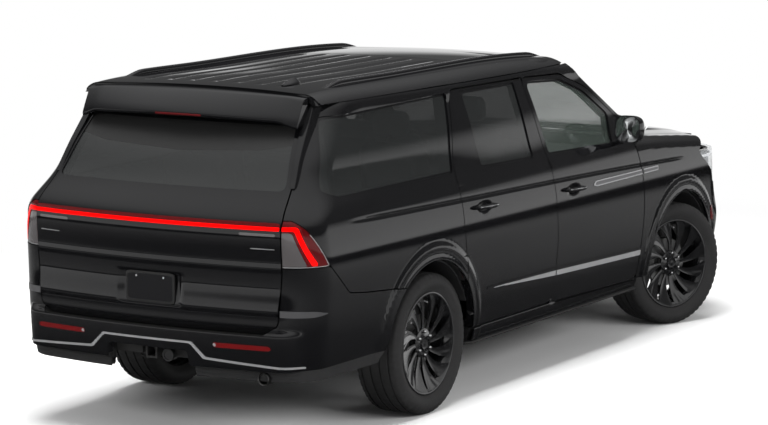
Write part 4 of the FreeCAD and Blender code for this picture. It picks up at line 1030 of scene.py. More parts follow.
@dataclass
class BodySkins:
    """Painted outer skins of the body, laid closely over the structure or standing for whole doors."""

    shop: Workshop
    proud: float = 8.5
    rim: float = 10.0
    door_t: float = 51.0
    step: float = 15.0
    core_in: tuple[float, float] = (240.0, 230.0)
    flank_end: float = 2960.0
    sill: float = 345.0
    sill_out: float = 15.0
    cant: float = 1838.0
    ridge_high: float = 5.0
    ridge_pitch: float = 150.0
    crease_high: float = 7.0
    cup_deep: float = 22.0
    cup_half: tuple[float, float] = (92.0, 36.0)
    cups: tuple[tuple[float, float], ...] = ((591.0, 1129.0), (1724.0, 1098.0))
    grids: dict[str, Patch] = field(default_factory=dict)

    def flank(self) -> Patch:
        """Right flank from the tail's face round the rear corner to the front pillar."""
        if "flank" in self.grids:
            return self.grids["flank"]
        heights = np.unique(np.concatenate([spread(330, 1096, self.step), spread(1096, 1236, 5.0),
                                            spread(1236, 1900, self.step)]))
        core_x = FORM.TAIL(heights) + FORM.TAIL_CROWN * 700 ** 2 + self.core_in[0]
        core_y = self.core_in[1] - FORM.half_width(core_x, heights)
        origins, ways = [], []
        for lift in spread(200.0, 8.0, 16.0):
            origins.append(np.stack([core_x, core_y + lift, heights], -1))
            ways.append(np.tile([-1.0, 0.0, 0.0], (len(heights), 1)))
        for turn in spread(0.0, 90.0, 3.0):
            c, s = aimed(turn)
            origins.append(np.stack([core_x, core_y, heights], -1))
            ways.append(np.tile([-c, -s, 0.0], (len(heights), 1)))
        count = int(4300 / self.step)
        for i in range(1, count + 1):
            x = core_x + (self.flank_end - core_x) * i / count
            origins.append(np.stack([x, core_y + 150.0, heights], -1))
            ways.append(np.tile([0.0, -1.0, 0.0], (len(heights), 1)))
        self.grids["flank"] = Patch.cast(FORM.cabin, np.array(origins), np.array(ways), 900.0)
        return self.grids["flank"]

    def wing(self) -> Patch:
        """Right front fender with its rounded top edge."""
        stations = spread(2630, 3960, self.step)
        turns = np.unique(np.concatenate([spread(-64, -8, 2.0), spread(-8, 14, 0.8), spread(14, 72, 2.0)]))
        c, s = aimed(turns)
        x, turn_c = np.meshgrid(stations, c, indexing="ij")
        return Patch.cast(FORM.front, xyz(x, -560.0, 1050.0), xyz(0.0, -turn_c, s))

    def roof(self) -> Patch:
        """Roof between the cant rails."""
        x, turn = np.meshgrid(spread(-900, 2140, 30.0), spread(-57, 57, 0.75), indexing="ij")
        c, s = aimed(turn)
        return Patch.cast(FORM.top, xyz(x, 0.0, 1250.0), xyz(0.0, s, c))

    def tail(self, low: float, high: float, step: float = 10.0) -> Patch:
        """Tail from side to side between two heights."""
        z, turn = np.meshgrid(spread(low, high, step), spread(-108, 108, 1.2), indexing="ij")
        c, s = aimed(turn)
        return Patch.cast(FORM.cabin, xyz(FORM.TAIL(z) + 700.0, 0.0, z), xyz(-c, s, 0.0))

    def hood(self) -> Patch:
        """Hood with its turned-down front and sides."""
        u, v = np.meshgrid(np.linspace(0, 1, 90), np.linspace(-1, 1, 141), indexing="ij")
        way = xyz(1.1 * u ** 6, 1.15 * v * np.abs(v) ** 3, 1.0)
        way /= np.linalg.norm(way, axis=-1, keepdims=True)
        return Patch.cast(FORM.front, xyz(2800 + 1050 * u, 560 * v, 950.0), way, 900.0)

    def nose(self, low: float = 320.0, high: float = 1190.0) -> Patch:
        """Nose from wheel opening to wheel opening."""
        z, turn = np.meshgrid(spread(low, high, 13.0), spread(-80, 80, 1.0), indexing="ij")
        c, s = aimed(turn)
        return Patch.cast(FORM.front, xyz(3400.0, 0.0, z), xyz(c, s, 0.0))

    @staticmethod
    def opened(patch: Patch, x: float, radius: float) -> Patch:
        """The patch without a wheel opening."""
        away = np.hypot(patch.x - x, np.maximum(patch.z - AXLE_Z, 0.0))
        return patch.trim(radius - away)

    def dished(self, patch: Patch) -> Patch:
        """The patch with the finger cups behind the door handles."""
        amount = np.zeros(len(patch.points))
        half_x, half_z = self.cup_half
        for x, z in self.cups:
            away = ((patch.x - x) / half_x) ** 2 + ((patch.z - z + 2.0) / half_z) ** 2
            amount -= self.cup_deep * np.clip(1.0 - away, 0.0, 1.0) ** 1.3
        return reshaped(patch, amount)

    def panel(self, patch: Patch, side: Side, name: str, body: str, depth: float = 0.0,
              finish: str = "paint_black", slot: str = "paint", proud: Optional[float] = None,
              replaces: Sequence[str] = ()) -> bpy.types.Object:
        """Mount a panel made on the right side.

        Args:
            patch: Its outer surface, as the form gives it.
            side: The side that it goes to.
            name: Its name without the side.
            body: Its body, with {} for the side.
            depth: Depth of its edge.
            finish: Its finish.
            slot: Its slot.
            proud: How far it stands out of the form; the usual amount if left out.
            replaces: CAD nodes it stands for.

        Returns:
            The piece.
        """
        out = self.proud if proud is None else proud
        return self.shop.lay(placed(patch, side), f"{name}_{side.label}", body.format(side.label), finish,
                             slot, out, depth or self.rim, replaces)

    def frame_skin(self, flank: Patch) -> Patch:
        """Rear quarter, pillars and sill, between the doors, lamps, bumper and tailgate."""
        skin = self.opened(flank, 0.0, FORM.ARCH_R)
        skin = skin.without(FRONT_DOOR, grow=SHUT / 2).without(REAR_DOOR, grow=SHUT / 2)
        skin = skin.without(QUARTER_PANE)
        low_tail = [(-1700, 200, 0), (-1700, 1012, 0)] + BUMPER_SEAM + [(-150, 200, 0)]
        skin = skin.without(low_tail, grow=SHUT / 2).without(LAMP_SIDE, grow=1.0)
        skin = skin.without(GATE_EDGE, "yz", grow=SHUT / 2)
        ahead = [(2690, 200, 0), (2694, 394, 0), (2744, 900, 900), (2658, 1234, 0), (2640, 1262, 0),
                 (3100, 1400, 0), (3100, 200, 0)]
        skin = skin.without(ahead)
        skin = skin.trim(self.sill - skin.z)
        skin = skin.trim(skin.z - self.cant + 2.0)
        screen = FORM.SCREEN(skin.z) - FORM.SCREEN_CROWN * skin.y ** 2
        skin = skin.trim(skin.x - screen + 12.0)
        roll = self.sill_out * ease(437.0 - skin.z, 0, 20) - 5.0 * ease(400.0 - skin.z, 0, 50)
        shoulder = 7.0 * ease(skin.z, 1745, 1800)
        return reshaped(skin, (roll + shoulder) * ease(skin.x, -700, -500))

    def sides(self) -> None:
        """Quarters, doors and fenders."""
        flank = self.flank()
        frame_skin = self.frame_skin(flank)
        front = self.dished(flank.inside(FRONT_DOOR, grow=-SHUT / 2)).without(FRONT_PANE)
        rear = self.dished(self.opened(flank, 0.0, FORM.ARCH_R + 3.0).inside(REAR_DOOR, grow=-SHUT / 2))
        rear = rear.without(REAR_PANE)
        wing = self.opened(self.wing().inside(WING_EDGE), WHEELBASE, FORM.ARCH_R)
        wing = wing.without(HOOD_EDGE, "xy", grow=SHUT / 2)
        for side in Side:
            self.panel(frame_skin, side, "quarter_skin", "body")
            self.panel(wing, side, "fender_skin", "body")
            for end, skin in (("front", front), ("rear", rear)):
                body = f"{end}_door_{side.label}"
                self.panel(skin, side, f"{end}_door_skin", body, self.door_t, replaces=[body])
                inner = backed(placed(skin, side).sunk(-self.proud), self.door_t)
                self.shop.mount(inner.build(f"{end}_door_inside_{side.label}"), body, "moulded_black",
                                "trim_black", [body])

    def roof_ribs(self, patch: Patch) -> Patch:
        """Roof pressed with long ribs behind its glass."""
        wave = np.cos(np.pi * patch.y / self.ridge_pitch) ** 2
        band = ease(540.0 - np.abs(patch.y), 0, 40)
        run = ease(patch.x, -760, -640) * ease(960.0 - patch.x, 0, 90)
        return reshaped(patch, -self.ridge_high * (ease(wave, 0.55, 0.9)) * band * run)

    def tops(self) -> None:
        """Roof with its glass, and hood."""
        edge = [(-862, self.cant + 2, 0), (1970, self.cant + 2, 0), (2016, 1856, 0), (2080, 1920, 0),
                (2060, 2000, 0), (-862, 2000, 0)]
        roof = self.roof_ribs(self.roof().inside(edge, grow=-1.0))
        roof = reshaped(roof, 6.0 * ease(np.abs(roof.y), 560, 690) * ease(roof.x, -500, 300))
        sunroof = [(1010, -560, 60), (1010, 560, 60), (1968, 540, 60), (1968, -540, 60)]
        panel = roof.without(sunroof, "xy", grow=4.0)
        self.shop.lay(panel, "roof_skin", "body", "paint_black", "paint", self.proud, self.rim)
        glass = roof.inside(sunroof, "xy")
        self.shop.lay(glass, "roof_glass", "body", "roof_glass", "glass_dark", self.proud + 0.5, self.rim)
        hood = self.hood().inside(HOOD_EDGE, "xy", grow=-SHUT / 2)
        crease = self.crease_high * ease(700.0 - np.abs(hood.y), 0, 90)
        crease = crease * ease(hood.x, 2870, 3100) * ease(4110 - hood.x, 0, 200)
        self.shop.lay(reshaped(hood, crease), "hood_skin", "hood", "paint_black", "paint", self.proud, 24.0)

    def glass(self) -> None:
        """Side glass of the doors and quarters, each pane with a black border."""
        flank = self.flank()
        panes = (("front_door_glass", FRONT_PANE, "front_door_{}", "glass_clear", "glass_clear"),
                 ("rear_door_glass", REAR_PANE, "rear_door_{}", "glass_tinted", "glass_dark"),
                 ("quarter_glass", QUARTER_PANE, "body", "glass_tinted", "glass_dark"))
        for side in Side:
            for name, outline, body, finish, slot in panes:
                pane = flank.inside(outline, grow=-1.0)
                self.panel(pane, side, name.replace("glass", "pane"), body, 4.0, finish, slot, 1.0,
                           [f"{name}_{side.label}"])
                band = flank.inside(outline, grow=-1.2).without(outline, grow=-13.0)
                self.panel(band, side, name.replace("glass", "border"), body, 1.5, "gloss_black", slot, 1.6)

    def build(self) -> None:
        """Lay all the skins."""
        self.sides()
        self.tops()
        self.glass()


@dataclass
class Tail:
    """Tailgate, its glass and spoiler, tail lamps, bumper and everything fixed to them."""

    shop: Workshop
    skins: BodySkins
    gate_t: float = 51.0
    plate_z: float = 852.0
    plate_half: tuple[float, float] = (152.5, 76.0)
    recess_deep: float = 13.0
    step_out: float = 47.5
    chamfer_out: float = 4.0
    pull_out: float = 10.0
    tuck_in: float = 14.0
    reverse_span: tuple[float, float] = (562.0, 784.0)
    mark_span: tuple[float, float] = (621.0, 785.0)
    reflector_span: tuple[float, float] = (425.0, 772.0)
    sensors: tuple[float, ...] = (304.0, 742.0)
    sensor_z: float = 622.0
    sensor_r: float = 11.0
    bar_end: float = 801.0
    bar_low: float = 1206.0
    bar_high: float = 1248.0
    strip_out: float = 5.0
    spoiler_half: float = 716.0
    spoiler_root: float = -866.0
    spoiler_bow: float = 0.42
    hitch_x: float = -1330.0
    hitch_z: float = 496.0
    collar_half: float = 38.0
    hole_half: float = 26.5
    exhaust_at: tuple[float, float, float] = (-1190.0, -700.0, 402.0)

    def relief(self, patch: Patch) -> Patch:
        """Tailgate with its creases, plate recess and rounded lower lip."""
        y, z = np.abs(patch.y), patch.z
        chamfer = self.chamfer_out * (1.0 - ease(z, 1000, 1047)) * ease(z, 988, 996)
        pull = self.pull_out * (1.0 - ease(z, 775, 905)) * ease(z, 748, 760)
        recess = -self.recess_deep * ease(205.0 - y, 0, 14) * ease(z, 752, 766) * ease(946.0 - z, 0, 12)
        tuck = -self.tuck_in * (1.0 - ease(z, 645, 690))
        return reshaped(patch, (chamfer + pull + recess + tuck) * ease(1262.0 - z, 0, 10))

    def gate(self) -> None:
        """Tailgate skin, its inside and its glass."""
        body = "tailgate"
        fine = self.skins.tail(640, 1420, 6.5)
        upper = self.skins.tail(1420, 1850, 12.0)
        for name, patch in (("tailgate_skin", self.relief(fine)), ("tailgate_frame", upper)):
            skin = patch.inside(GATE_EDGE, "yz", grow=-SHUT / 2).without(GATE_GLASS, "yz")
            skin = skin.sunk(-self.skins.proud)
            self.shop.mount(skin.build(name, self.gate_t), body, "paint_black", "paint", [body])
            inner = backed(skin, self.gate_t)
            self.shop.mount(inner.build(name + "_inside"), body, "moulded_black", "trim_black", [body])
        pane = self.skins.tail(1380, 1850, 12.0).inside(GATE_GLASS, "yz", grow=-1.0)
        self.shop.lay(pane, "tailgate_pane", body, "glass_tinted", "glass_dark", 2.5, 4.0, ["tailgate_glass"])
        smile = [(-900, 1800, 0), (-748, 1640, 200), (-520, 1600, 300), (0, 1578, 900), (520, 1600, 300),
                 (748, 1640, 200), (900, 1800, 0)]
        band = pane.inside(smile, "yz")
        self.shop.lay(band, "rear_glass_band", body, "satin_black", "glass_dark", 3.2, 0.0)

    def strip(self, source: Patch, outline: Outline, name: str, body: str, finish: str, slot: str,
              out: float, rim: float = 3.0) -> None:
        """Mount a thin piece cut from the tail's surface by an outline, a little out of the skins."""
        self.shop.lay(source.inside(outline, "yz"), name, body, finish, slot, self.skins.proud + out, rim)

    def gate_details(self) -> None:
        """Light bar, small lamps, marks and plate."""
        fine = self.relief(self.skins.tail(1090, 1262, 2.6))
        lens = oblong(-self.bar_end, self.bar_end, self.bar_low, self.bar_high, 10)
        cut = fine.inside(lens, "yz")
        self.shop.lay(cut, "light_bar_lens", "tailgate", "lamp_dark", "lamp_red", self.skins.proud + 5.0, 9.0,
                      ["light_bar"])
        core = oblong(-self.bar_end, self.bar_end, self.bar_low + 4, self.bar_low + 23)
        self.strip(fine, core, "light_bar_core", "tailgate", "lamp_glow", "lamp_red", 6.5, 1.5)
        for side in Side:
            reverse = oblong(*side.span(*self.reverse_span), 1179, 1194, 5)
            self.strip(fine, reverse, f"reverse_lamp_{side.label}", "tailgate", "lamp_smoke", "lamp_clear",
                       1.5)
            low, high = side.span(*self.mark_span)
            mark = [(low, 1109.5, 0), (low, 1112.5, 0), (high, 1113.5, 0), (high, 1108.5, 0)]
            self.strip(fine, mark, f"thin_mark_{side.label}", "tailgate", "satin_metal", "satin_metal", 1.0,
                       1.0)
        self.plate()

    def plate(self) -> None:
        """Blank plate in its frame, with two screws."""
        half_w, half_h = self.plate_half
        back = float(FORM.TAIL(np.array(self.plate_z)) - 9.0 - self.skins.proud + self.recess_deep)
        plate = bar([[back - 1.0, 0, self.plate_z], [back - 6.0, 0, self.plate_z]], (0, 1, 0), (0, 0, 1),
                    lambda _: oval(half_w, half_h, 64, 12.0))
        self.shop.mount(plate.build("number_plate", bevel=0.8), "tailgate", "plate_blank", "satin_metal")
        outer, inner = (oval(half_w + more, half_h + more, 64, 12.0) for more in (9, -4))
        rows = []
        for ring, out in ((outer, 4.0), (outer, -7.0), (inner, -8.0), (inner, 4.0), (outer, 4.0)):
            rows.append(xyz(back + out, ring[:, 0], self.plate_z + ring[:, 1]))
        surround = Shape().grid(np.array(rows), wrap=True)
        self.shop.mount(surround.build("plate_frame", bevel=1.0), "tailgate", "satin_black", "trim_black")
        screw = Shape().spun([(0, 5.5), (1.2, 6.5), (3.2, 5.0), (3.6, 0.1)], 20, closed=False)
        for side in Side:
            turned = screw.facing(-1.0, (back - 7.0, side.value * 90.0, self.plate_z + 58.0))
            self.shop.mount(turned.build(f"plate_screw_{side.label}"), "tailgate", "satin_metal",
                            "satin_metal")

    def lamps(self) -> None:
        """Body lamps at the rear corners."""
        flank = self.skins.flank().inside(oblong(-1700, -1000, 990, 1290))
        zone = flank.inside(LAMP_SIDE, grow=-2.0).without(GATE_EDGE, "yz", grow=SHUT / 2)
        hook = [(-800, 1204, 0), (-800, 1240, 8), (-893, 1240, 30), (-974, 1018, 8), (-934, 1018, 8),
                (-866, 1204, 24)]
        core = [(-800, 1210, 0), (-800, 1231, 0), (-886, 1231, 24), (-966, 1022, 0), (-944, 1022, 0),
                (-872, 1210, 20)]
        reflector = [(-800, 1200, 0), (-862, 1200, 20), (-928, 1018, 8), (-800, 1018, 0)]
        edge = zone.without(LAMP_SIDE, grow=-5.5).without(oblong(-1300, -1000, 1190, 1290))
        pieces = (("lens", zone, 20.0, "lamp_deep_red", "lamp_red", 4.0),
                  ("hook", zone.inside(hook, "yz"), 4.0, "lamp_dark", "lamp_red", 6.0),
                  ("core", zone.inside(core, "yz"), 1.5, "lamp_glow", "lamp_red", 7.5),
                  ("reflector", zone.inside(reflector, "yz"), 3.0, "lamp_smoke", "lamp_clear", 5.5),
                  ("edge", edge, 3.0, "satin_metal", "satin_metal", 6.4))
        for side in Side:
            for name, piece, depth, finish, slot, out in pieces:
                nodes = [f"tail_lamp_{side.label}"] if name == "lens" else []
                self.skins.panel(piece, side, f"tail_lamp_{name}", "body", depth, finish, slot, out, nodes)

    def swell(self, patch: Patch) -> Array:
        """How far the bumper stands out beyond the body's form."""
        y, z = np.abs(patch.y), patch.z
        out = self.step_out * (1.0 - ease(y, 800, 905))
        behind = ease(-700.0 - patch.x, 0, 60)
        return out * ease(z, 440, 461) * (1.0 - ease(z, 645, 676)) * behind

    def bumper(self) -> None:
        """Bumper skin with its step, lower valance and bright strip."""
        grid = self.skins.tail(384, 1010, 7.0)
        seam = [(-1700, 383, 0), (-1700, 1008, 0)] + BUMPER_SEAM + [(-450, 500, 0), (-560, 384, 30)]
        grid = reshaped(grid, self.swell(grid)).inside(seam, grow=-SHUT / 2)
        grid = grid.without(GATE_EDGE, "yz", grow=SHUT / 2)
        grid = self.skins.opened(grid, 0.0, FORM.ARCH_R)
        opening = [(-300, 300, 0), (-262, 533, 20), (262, 533, 20), (300, 300, 0)]
        grid = grid.without(opening, "yz")
        upper = grid.trim(455.0 - grid.z)
        lower = grid.trim(grid.z - 452.0)
        ribs = 3.5 * np.cos(2 * np.pi * lower.z / 22.0) * ease(880 - np.abs(lower.y), 0, 60)
        proud = self.skins.proud
        self.shop.lay(upper, "rear_bumper_skin", "body", "paint_black", "paint", proud, 55.0)
        self.shop.lay(reshaped(lower, ribs), "rear_valance", "body", "moulded_black", "trim_black",
                      proud - 3.0, 30.0)
        line = [(-905, 466, 3), (-905, 477, 3), (-380, 507, 20), (-293, 586, 12), (293, 586, 12),
                (380, 507, 20), (905, 477, 3), (905, 466, 3), (366, 495, 20), (284, 575, 10),
                (-284, 575, 10), (-366, 495, 20)]
        self.strip(upper, line, "bumper_strip", "body", "satin_metal", "satin_metal", self.strip_out, 7.0)
        turn = np.linspace(0, 2 * math.pi, 20, endpoint=False)
        for side in Side:
            hand = side.label
            near, far = self.reflector_span
            self.strip(upper, oblong(*side.span(near, far), 566, 592, 6), f"bumper_reflector_{hand}", "body",
                       "reflector_red", "lamp_red", 1.5, 4.0)
            self.strip(upper, oblong(*side.span(near, near + 22.0), 569, 589, 2), f"reflector_end_{hand}",
                       "body", "satin_metal", "satin_metal", 3.0, 2.0)
            for index, y in enumerate(self.sensors):
                ring = [(side.value * y + self.sensor_r * math.cos(t),
                         self.sensor_z + self.sensor_r * math.sin(t), 0) for t in turn]
                self.strip(upper, ring, f"parking_sensor_{hand}_{index + 1}", "body", "gloss_black",
                           "trim_black", 1.2, 2.5)

    def fins(self) -> None:
        """Pointed tips at the bumper's shoulders, in dark metal that paints the highlight of the body-colour
        ledge there.
        """
        corner = self.skins.tail(715, 800, 3.0)
        tip = [(-1098, 757, 0), (-1185, 775, 30), (-1420, 786, 0), (-1420, 744, 0), (-1185, 743, 30)]
        piece = corner.trim(corner.y + 796.0).inside(tip)
        for side in Side:
            # Painted highlight: the dark metal finish stands in for the light on the body-colour ledge, not
            # for a metal part.
            self.skins.panel(piece, side, "bumper_fin", "body", 3.0, "dark_metal", "satin_metal",
                             self.skins.proud + 2.5)

    def spoiler(self) -> None:
        """Full-width blade over the rear glass whose ends wrap down along the pillars."""
        root = self.spoiler_root
        profile = np.array([(root, 1852), (root, 1903), (-900, 1904), (-935, 1902), (-962, 1893),
                            (-1040, 1821), (-1073, 1786), (-1075, 1779), (-1072, 1768), (-1066, 1763),
                            (-1040, 1765), (-952, 1775), (-900, 1800)], float)
        behind = np.clip((root - profile[:, 0]) / 200, 0, 1)
        rows = []
        for y in spread(-self.spoiler_half, self.spoiler_half, 24.0):
            reach = 1.0 - self.spoiler_bow * (y / 700.0) ** 2
            drop = FORM.ROOF_CROWN * y * y
            fall = 26.0 * ease(np.abs(y), 600, self.spoiler_half) * behind
            x = root + (profile[:, 0] - root) * reach
            rows.append(xyz(x, y, profile[:, 1] - drop - fall))
        self.shop.mount(lofted(rows).build("roof_spoiler", sharp=30, bevel=3.0), "tailgate", "paint_black",
                        "paint", ["tailgate"])
        for side in Side:
            wrap = lofted([self.wrap_ring(s, side.value) for s in np.linspace(0, 1, 16)])
            self.shop.mount(wrap.build(f"pillar_blade_{side.label}", sharp=40, bevel=3.0), "tailgate",
                            "gloss_black", "paint")
        stop = bar([[-1071.5, -150, 1773.5], [-1077.0, 0, 1774.5], [-1071.5, 150, 1773.5]],
                   (1, 0, 0), (0, 0, 1), lambda _: oval(2.5, 5.5, 16))
        self.shop.mount(stop.build("high_stop_lamp"), "tailgate", "lamp_deep_red", "lamp_red")

    @staticmethod
    def wrap_ring(s: float, sign: float) -> list[tuple[float, float, float]]:
        """Corners of a pillar blade's section, s being 0 at its top and 1 at its foot."""
        z = 1868 - 450 * s
        width = 26 + 20 * (1 - s) ** 2
        y = 716 + 62 * s + 8 * s * s
        front = float(FORM.TAIL(np.array(z))) + FORM.TAIL_CROWN * y ** 2
        out = 30.0 * (1 - s) ** 1.4 + 7.0
        return [(front - out * 0.2 + 30, sign * (y - width), z),
                (front - out, sign * (y - width * 0.9), z),
                (front - out * 0.75, sign * (y + width * 0.35), z),
                (front + 45, sign * (y + width * 0.75), z)]

    def hitch(self) -> None:
        """Receiver collar, trailer socket and safety-chain loops in the bumper's opening."""
        out, hole = self.collar_half, self.hole_half
        face, rows = self.hitch_x, []
        for half, x in ((out, face), (out, face - 22.0), (hole, face - 22.0), (hole, face), (out, face)):
            ring = oval(half, half, 32, 14.0)
            rows.append(xyz(x, ring[:, 0], self.hitch_z + ring[:, 1]))
        collar = Shape().grid(np.array(rows), wrap=True)
        self.shop.mount(collar.build("receiver_collar", bevel=1.5), "body", "frame_paint", "frame_steel")
        profile = [(0, 0.1), (0, 30), (26, 32), (30, 36), (36, 36), (38, 26), (32, 24), (32, 0.1)]
        socket = Shape().spun(profile, 40, closed=False).facing(-1.0, (face, -118, self.hitch_z - 8.0))
        self.shop.mount(socket.build("trailer_socket", bevel=1.0), "body", "moulded_black", "trim_black")
        turn = np.linspace(0, math.pi, 17)
        for side in Side:
            across = side.value * (62 + 20 * (1 - np.cos(turn)) / 2)
            path = xyz(face + 8.0 - 16 * np.sin(turn), across, self.hitch_z - 34.0)
            loop = bar(path, (0, 0, 1), (0.7, 0.7, 0), lambda _: oval(5, 5, 10, 2.0))
            self.shop.mount(loop.build(f"chain_loop_{side.label}"), "body", "frame_paint", "frame_steel")

    def exhaust(self) -> None:
        """Silencer under the right corner with its tail pipe."""
        tip = Shape().spun([(0, 30), (0, 36), (118, 36), (120, 33), (118, 30)], 48)
        tip = tip.facing(-1.0, self.exhaust_at)
        self.shop.mount(tip.build("exhaust_tip"), "body", "exhaust_metal", "satin_metal")
        can = bar([[x, -640, 420] for x in (-1195, -1180, -760, -745)], (0, 1, 0), (0, 0, 1),
                  lambda t: oval(*((120, 62) if 0.1 < t < 0.9 else (104, 50)), 40, 3.2))
        self.shop.mount(can.build("silencer", bevel=4.0), "body", "exhaust_metal", "satin_metal")

    def build(self) -> None:
        """Make and mount the whole tail."""
        self.gate()
        self.gate_details()
        self.lamps()
        self.bumper()
        self.fins()
        self.spoiler()
        self.hitch()
        self.exhaust()


@dataclass
class RoadWheel:
    """One wheel: grooved tyre, turbine rim with its lugs and cap, and brake disc."""

    shop: Workshop
    x: float
    side: Side
    front: bool
    blades: int = 12
    lugs: int = 6
    tyre_r: float = 407.0
    groove_depth: float = 8.5
    notch_depth: float = 6.5
    sipe_depth: float = 2.0
    lug_circle: float = 67.5
    hub_face: float = 84.0
    lip: float = 119.0
    blade_t: float = 9.0

    def place(self, shape: Shape) -> Shape:
        """Wheel shape moved to its axle end, steered if it is a front wheel."""
        sign = self.side.value

        def change(p: Array) -> Array:
            """Points turned with the steering and moved to the axle's end."""
            out = p * [1, sign, 1] + [0, 0, AXLE_Z]
            if self.front:
                c, s = math.cos(-STEERED), math.sin(-STEERED)
                x, y, z = out.T
                out = np.stack([x * c - y * s, x * s + y * c, z], -1)
            return out + [self.x, sign * WHEEL_Y, 0]
        return shape.moved(change, flip=sign < 0)

    def tyre(self) -> Shape:
        """Tyre with four grooves round its tread, fine cuts across it and notched shoulders."""
        count = 216
        angle = np.linspace(0, 2 * math.pi, count, endpoint=False)
        side = [(104, 292), (116, 296), (121, 306), (133, 322), (140.5, 343), (141.5, 358), (139, 372),
                (134, 384), (128, 394), (122, 401.5)]
        tread: list[tuple[float, float]] = []
        for a in (90, 30):
            tread += [(a + 6, 0.0), (a + 5, -self.groove_depth), (a - 5, -self.groove_depth), (a - 6, 0.0)]
        half = side + [(112, self.tyre_r - 2.5)]
        half += [(a, self.tyre_r + d - (a / 130) ** 4 * 2) for a, d in tread]
        profile = half + [(-a, r) for a, r in half[::-1]]
        inner = [(-100, 300), (-116, 345), (-90, 385), (90, 385), (116, 345), (100, 300)]
        line = np.array(profile + inner)
        radius = np.repeat(line[:, 1:], count, 1)
        place = np.arange(count) % 4
        shoulder = (np.abs(line[:, 0]) > 108) & (line[:, 1] > 381)
        radius = np.where(shoulder[:, None] & (place == 0), radius - self.notch_depth, radius)
        middle = (np.abs(line[:, 0]) < 100) & (line[:, 1] > 400)
        radius = np.where(middle[:, None] & (place == 2), radius - self.sipe_depth, radius)
        rows = xyz(radius * np.cos(angle), line[:, :1], radius * np.sin(angle))
        rows = np.concatenate([rows, rows[:1]])
        return Shape().grid(rows, wrap=True)

    def barrel(self) -> Shape:
        """Rim barrel with its rolled outer lip."""
        return Shape().spun([(self.lip, 283), (self.lip + 2, 290), (self.lip, 296.5), (self.lip - 6, 297),
                             (104, 290), (96, 276), (60, 262), (-60, 262), (-96, 276), (-112, 290),
                             (-118, 296), (-122, 290), (-104, 268), (-64, 252), (62, 252), (94, 262),
                             (104, 272), (112, 280)], 120)

    def blade(self, index: int) -> Shape:
        """One swept blade, wider and further out towards the rim."""
        s = np.linspace(0, 1, 15)[:, None]
        t = np.linspace(-1, 1, 9)[None, :]
        radius = 60 + 222 * s + 0 * t
        half = 9.5 + 46.0 * s ** 1.7
        lean = math.radians(17) * s ** 1.4
        theta = 2 * math.pi * index / self.blades + lean + np.arctan2(half * t, radius)
        out = self.hub_face - 3 + 32 * s ** 1.5 + 9.0 * s * t - 5.0 * (1 - t * t) * s * (1 - s) * 2
        rib = 2.4 * np.exp(-((np.abs(t) - 0.5) / 0.12) ** 2) * ease(s, 0.62, 0.8) * (index % 2)
        face = np.stack([radius * np.cos(theta), out + rib, radius * np.sin(theta)], -1)
        back = np.stack([radius * np.cos(theta), out - self.blade_t, radius * np.sin(theta)], -1)
        ring = np.concatenate([face, back[:, ::-1]], 1)
        return Shape().grid(ring, wrap=True, caps=True)

    def hub(self) -> Shape:
        """Hub with a dished face and a bore behind it."""
        h = self.hub_face
        return Shape().spun([(38, 0.1), (38, 84), (62, 84), (h - 9, 88), (h - 2, 86), (h, 80), (h, 44),
                             (h + 2, 41), (h + 2, 0.1)], 72, closed=False)

    def cap(self) -> Shape:
        """Plain centre cap."""
        h = self.hub_face
        return Shape().spun([(h + 2, 40), (h + 9, 38), (h + 12, 34), (h + 10, 28), (h + 11, 14),
                             (h + 12, 0.1)], 48, closed=False)

    def lug_nuts(self) -> Shape:
        """Ring of six-sided lug nuts."""
        shape = Shape()
        h = self.hub_face
        nut = Shape().spun([(h - 8, 10.5), (h + 12, 10.5), (h + 17, 7.5), (h + 18, 0.1)], 6, closed=False)
        for i in range(self.lugs):
            turn = 2 * math.pi * (i + 0.5) / self.lugs
            centre = np.array([self.lug_circle * math.cos(turn), 0, self.lug_circle * math.sin(turn)])
            shape.add(np.concatenate(nut.points) + centre, nut.faces)
        return shape

    def disc(self) -> Shape:
        """Vented brake disc on its hat."""
        return Shape().spun([(10, 66), (10, 160), (20, 160), (20, 92), (28, 92), (28, 160), (38, 160),
                             (38, 84), (62, 80), (62, 66)], 96)

    def valve(self) -> Shape:
        """Valve stem near the rim's lip."""
        return bar([[0, 88, 246], [0, 112, 240]], (1, 0, 0), (0, 0, 1), lambda _: oval(4, 4, 10, 2.0))

    def build(self) -> None:
        """Make the wheel's pieces and mount them on its body."""
        end = "front" if self.front else "rear"
        tag = f"{end}_{self.side.label}"
        body = f"wheel_{tag}"
        rim = self.barrel()
        for part in [self.blade(index) for index in range(self.blades)] + [self.hub()]:
            rim.add(np.concatenate(part.points), part.faces)
        pieces = (("road_tyre", self.tyre(), 38, "tyre_rubber", "tyre", [f"tyre_{tag}"]),
                  ("turbine_rim", rim, 40, "rim_black", "rim_black", [f"rim_{tag}"]),
                  ("lug_nuts", self.lug_nuts(), 25, "lug_chrome", "satin_metal", []),
                  ("centre_cap", self.cap(), 50, "gloss_black", "rim_black", []),
                  ("brake_disc", self.disc(), 32, "disc_steel", "cast_iron", []),
                  ("valve", self.valve(), 32, "satin_metal", "satin_metal", []))
        for name, shape, sharp, finish, slot, nodes in pieces:
            self.shop.mount(self.place(shape).build(f"{name}_{tag}", sharp), body, finish, slot, nodes)


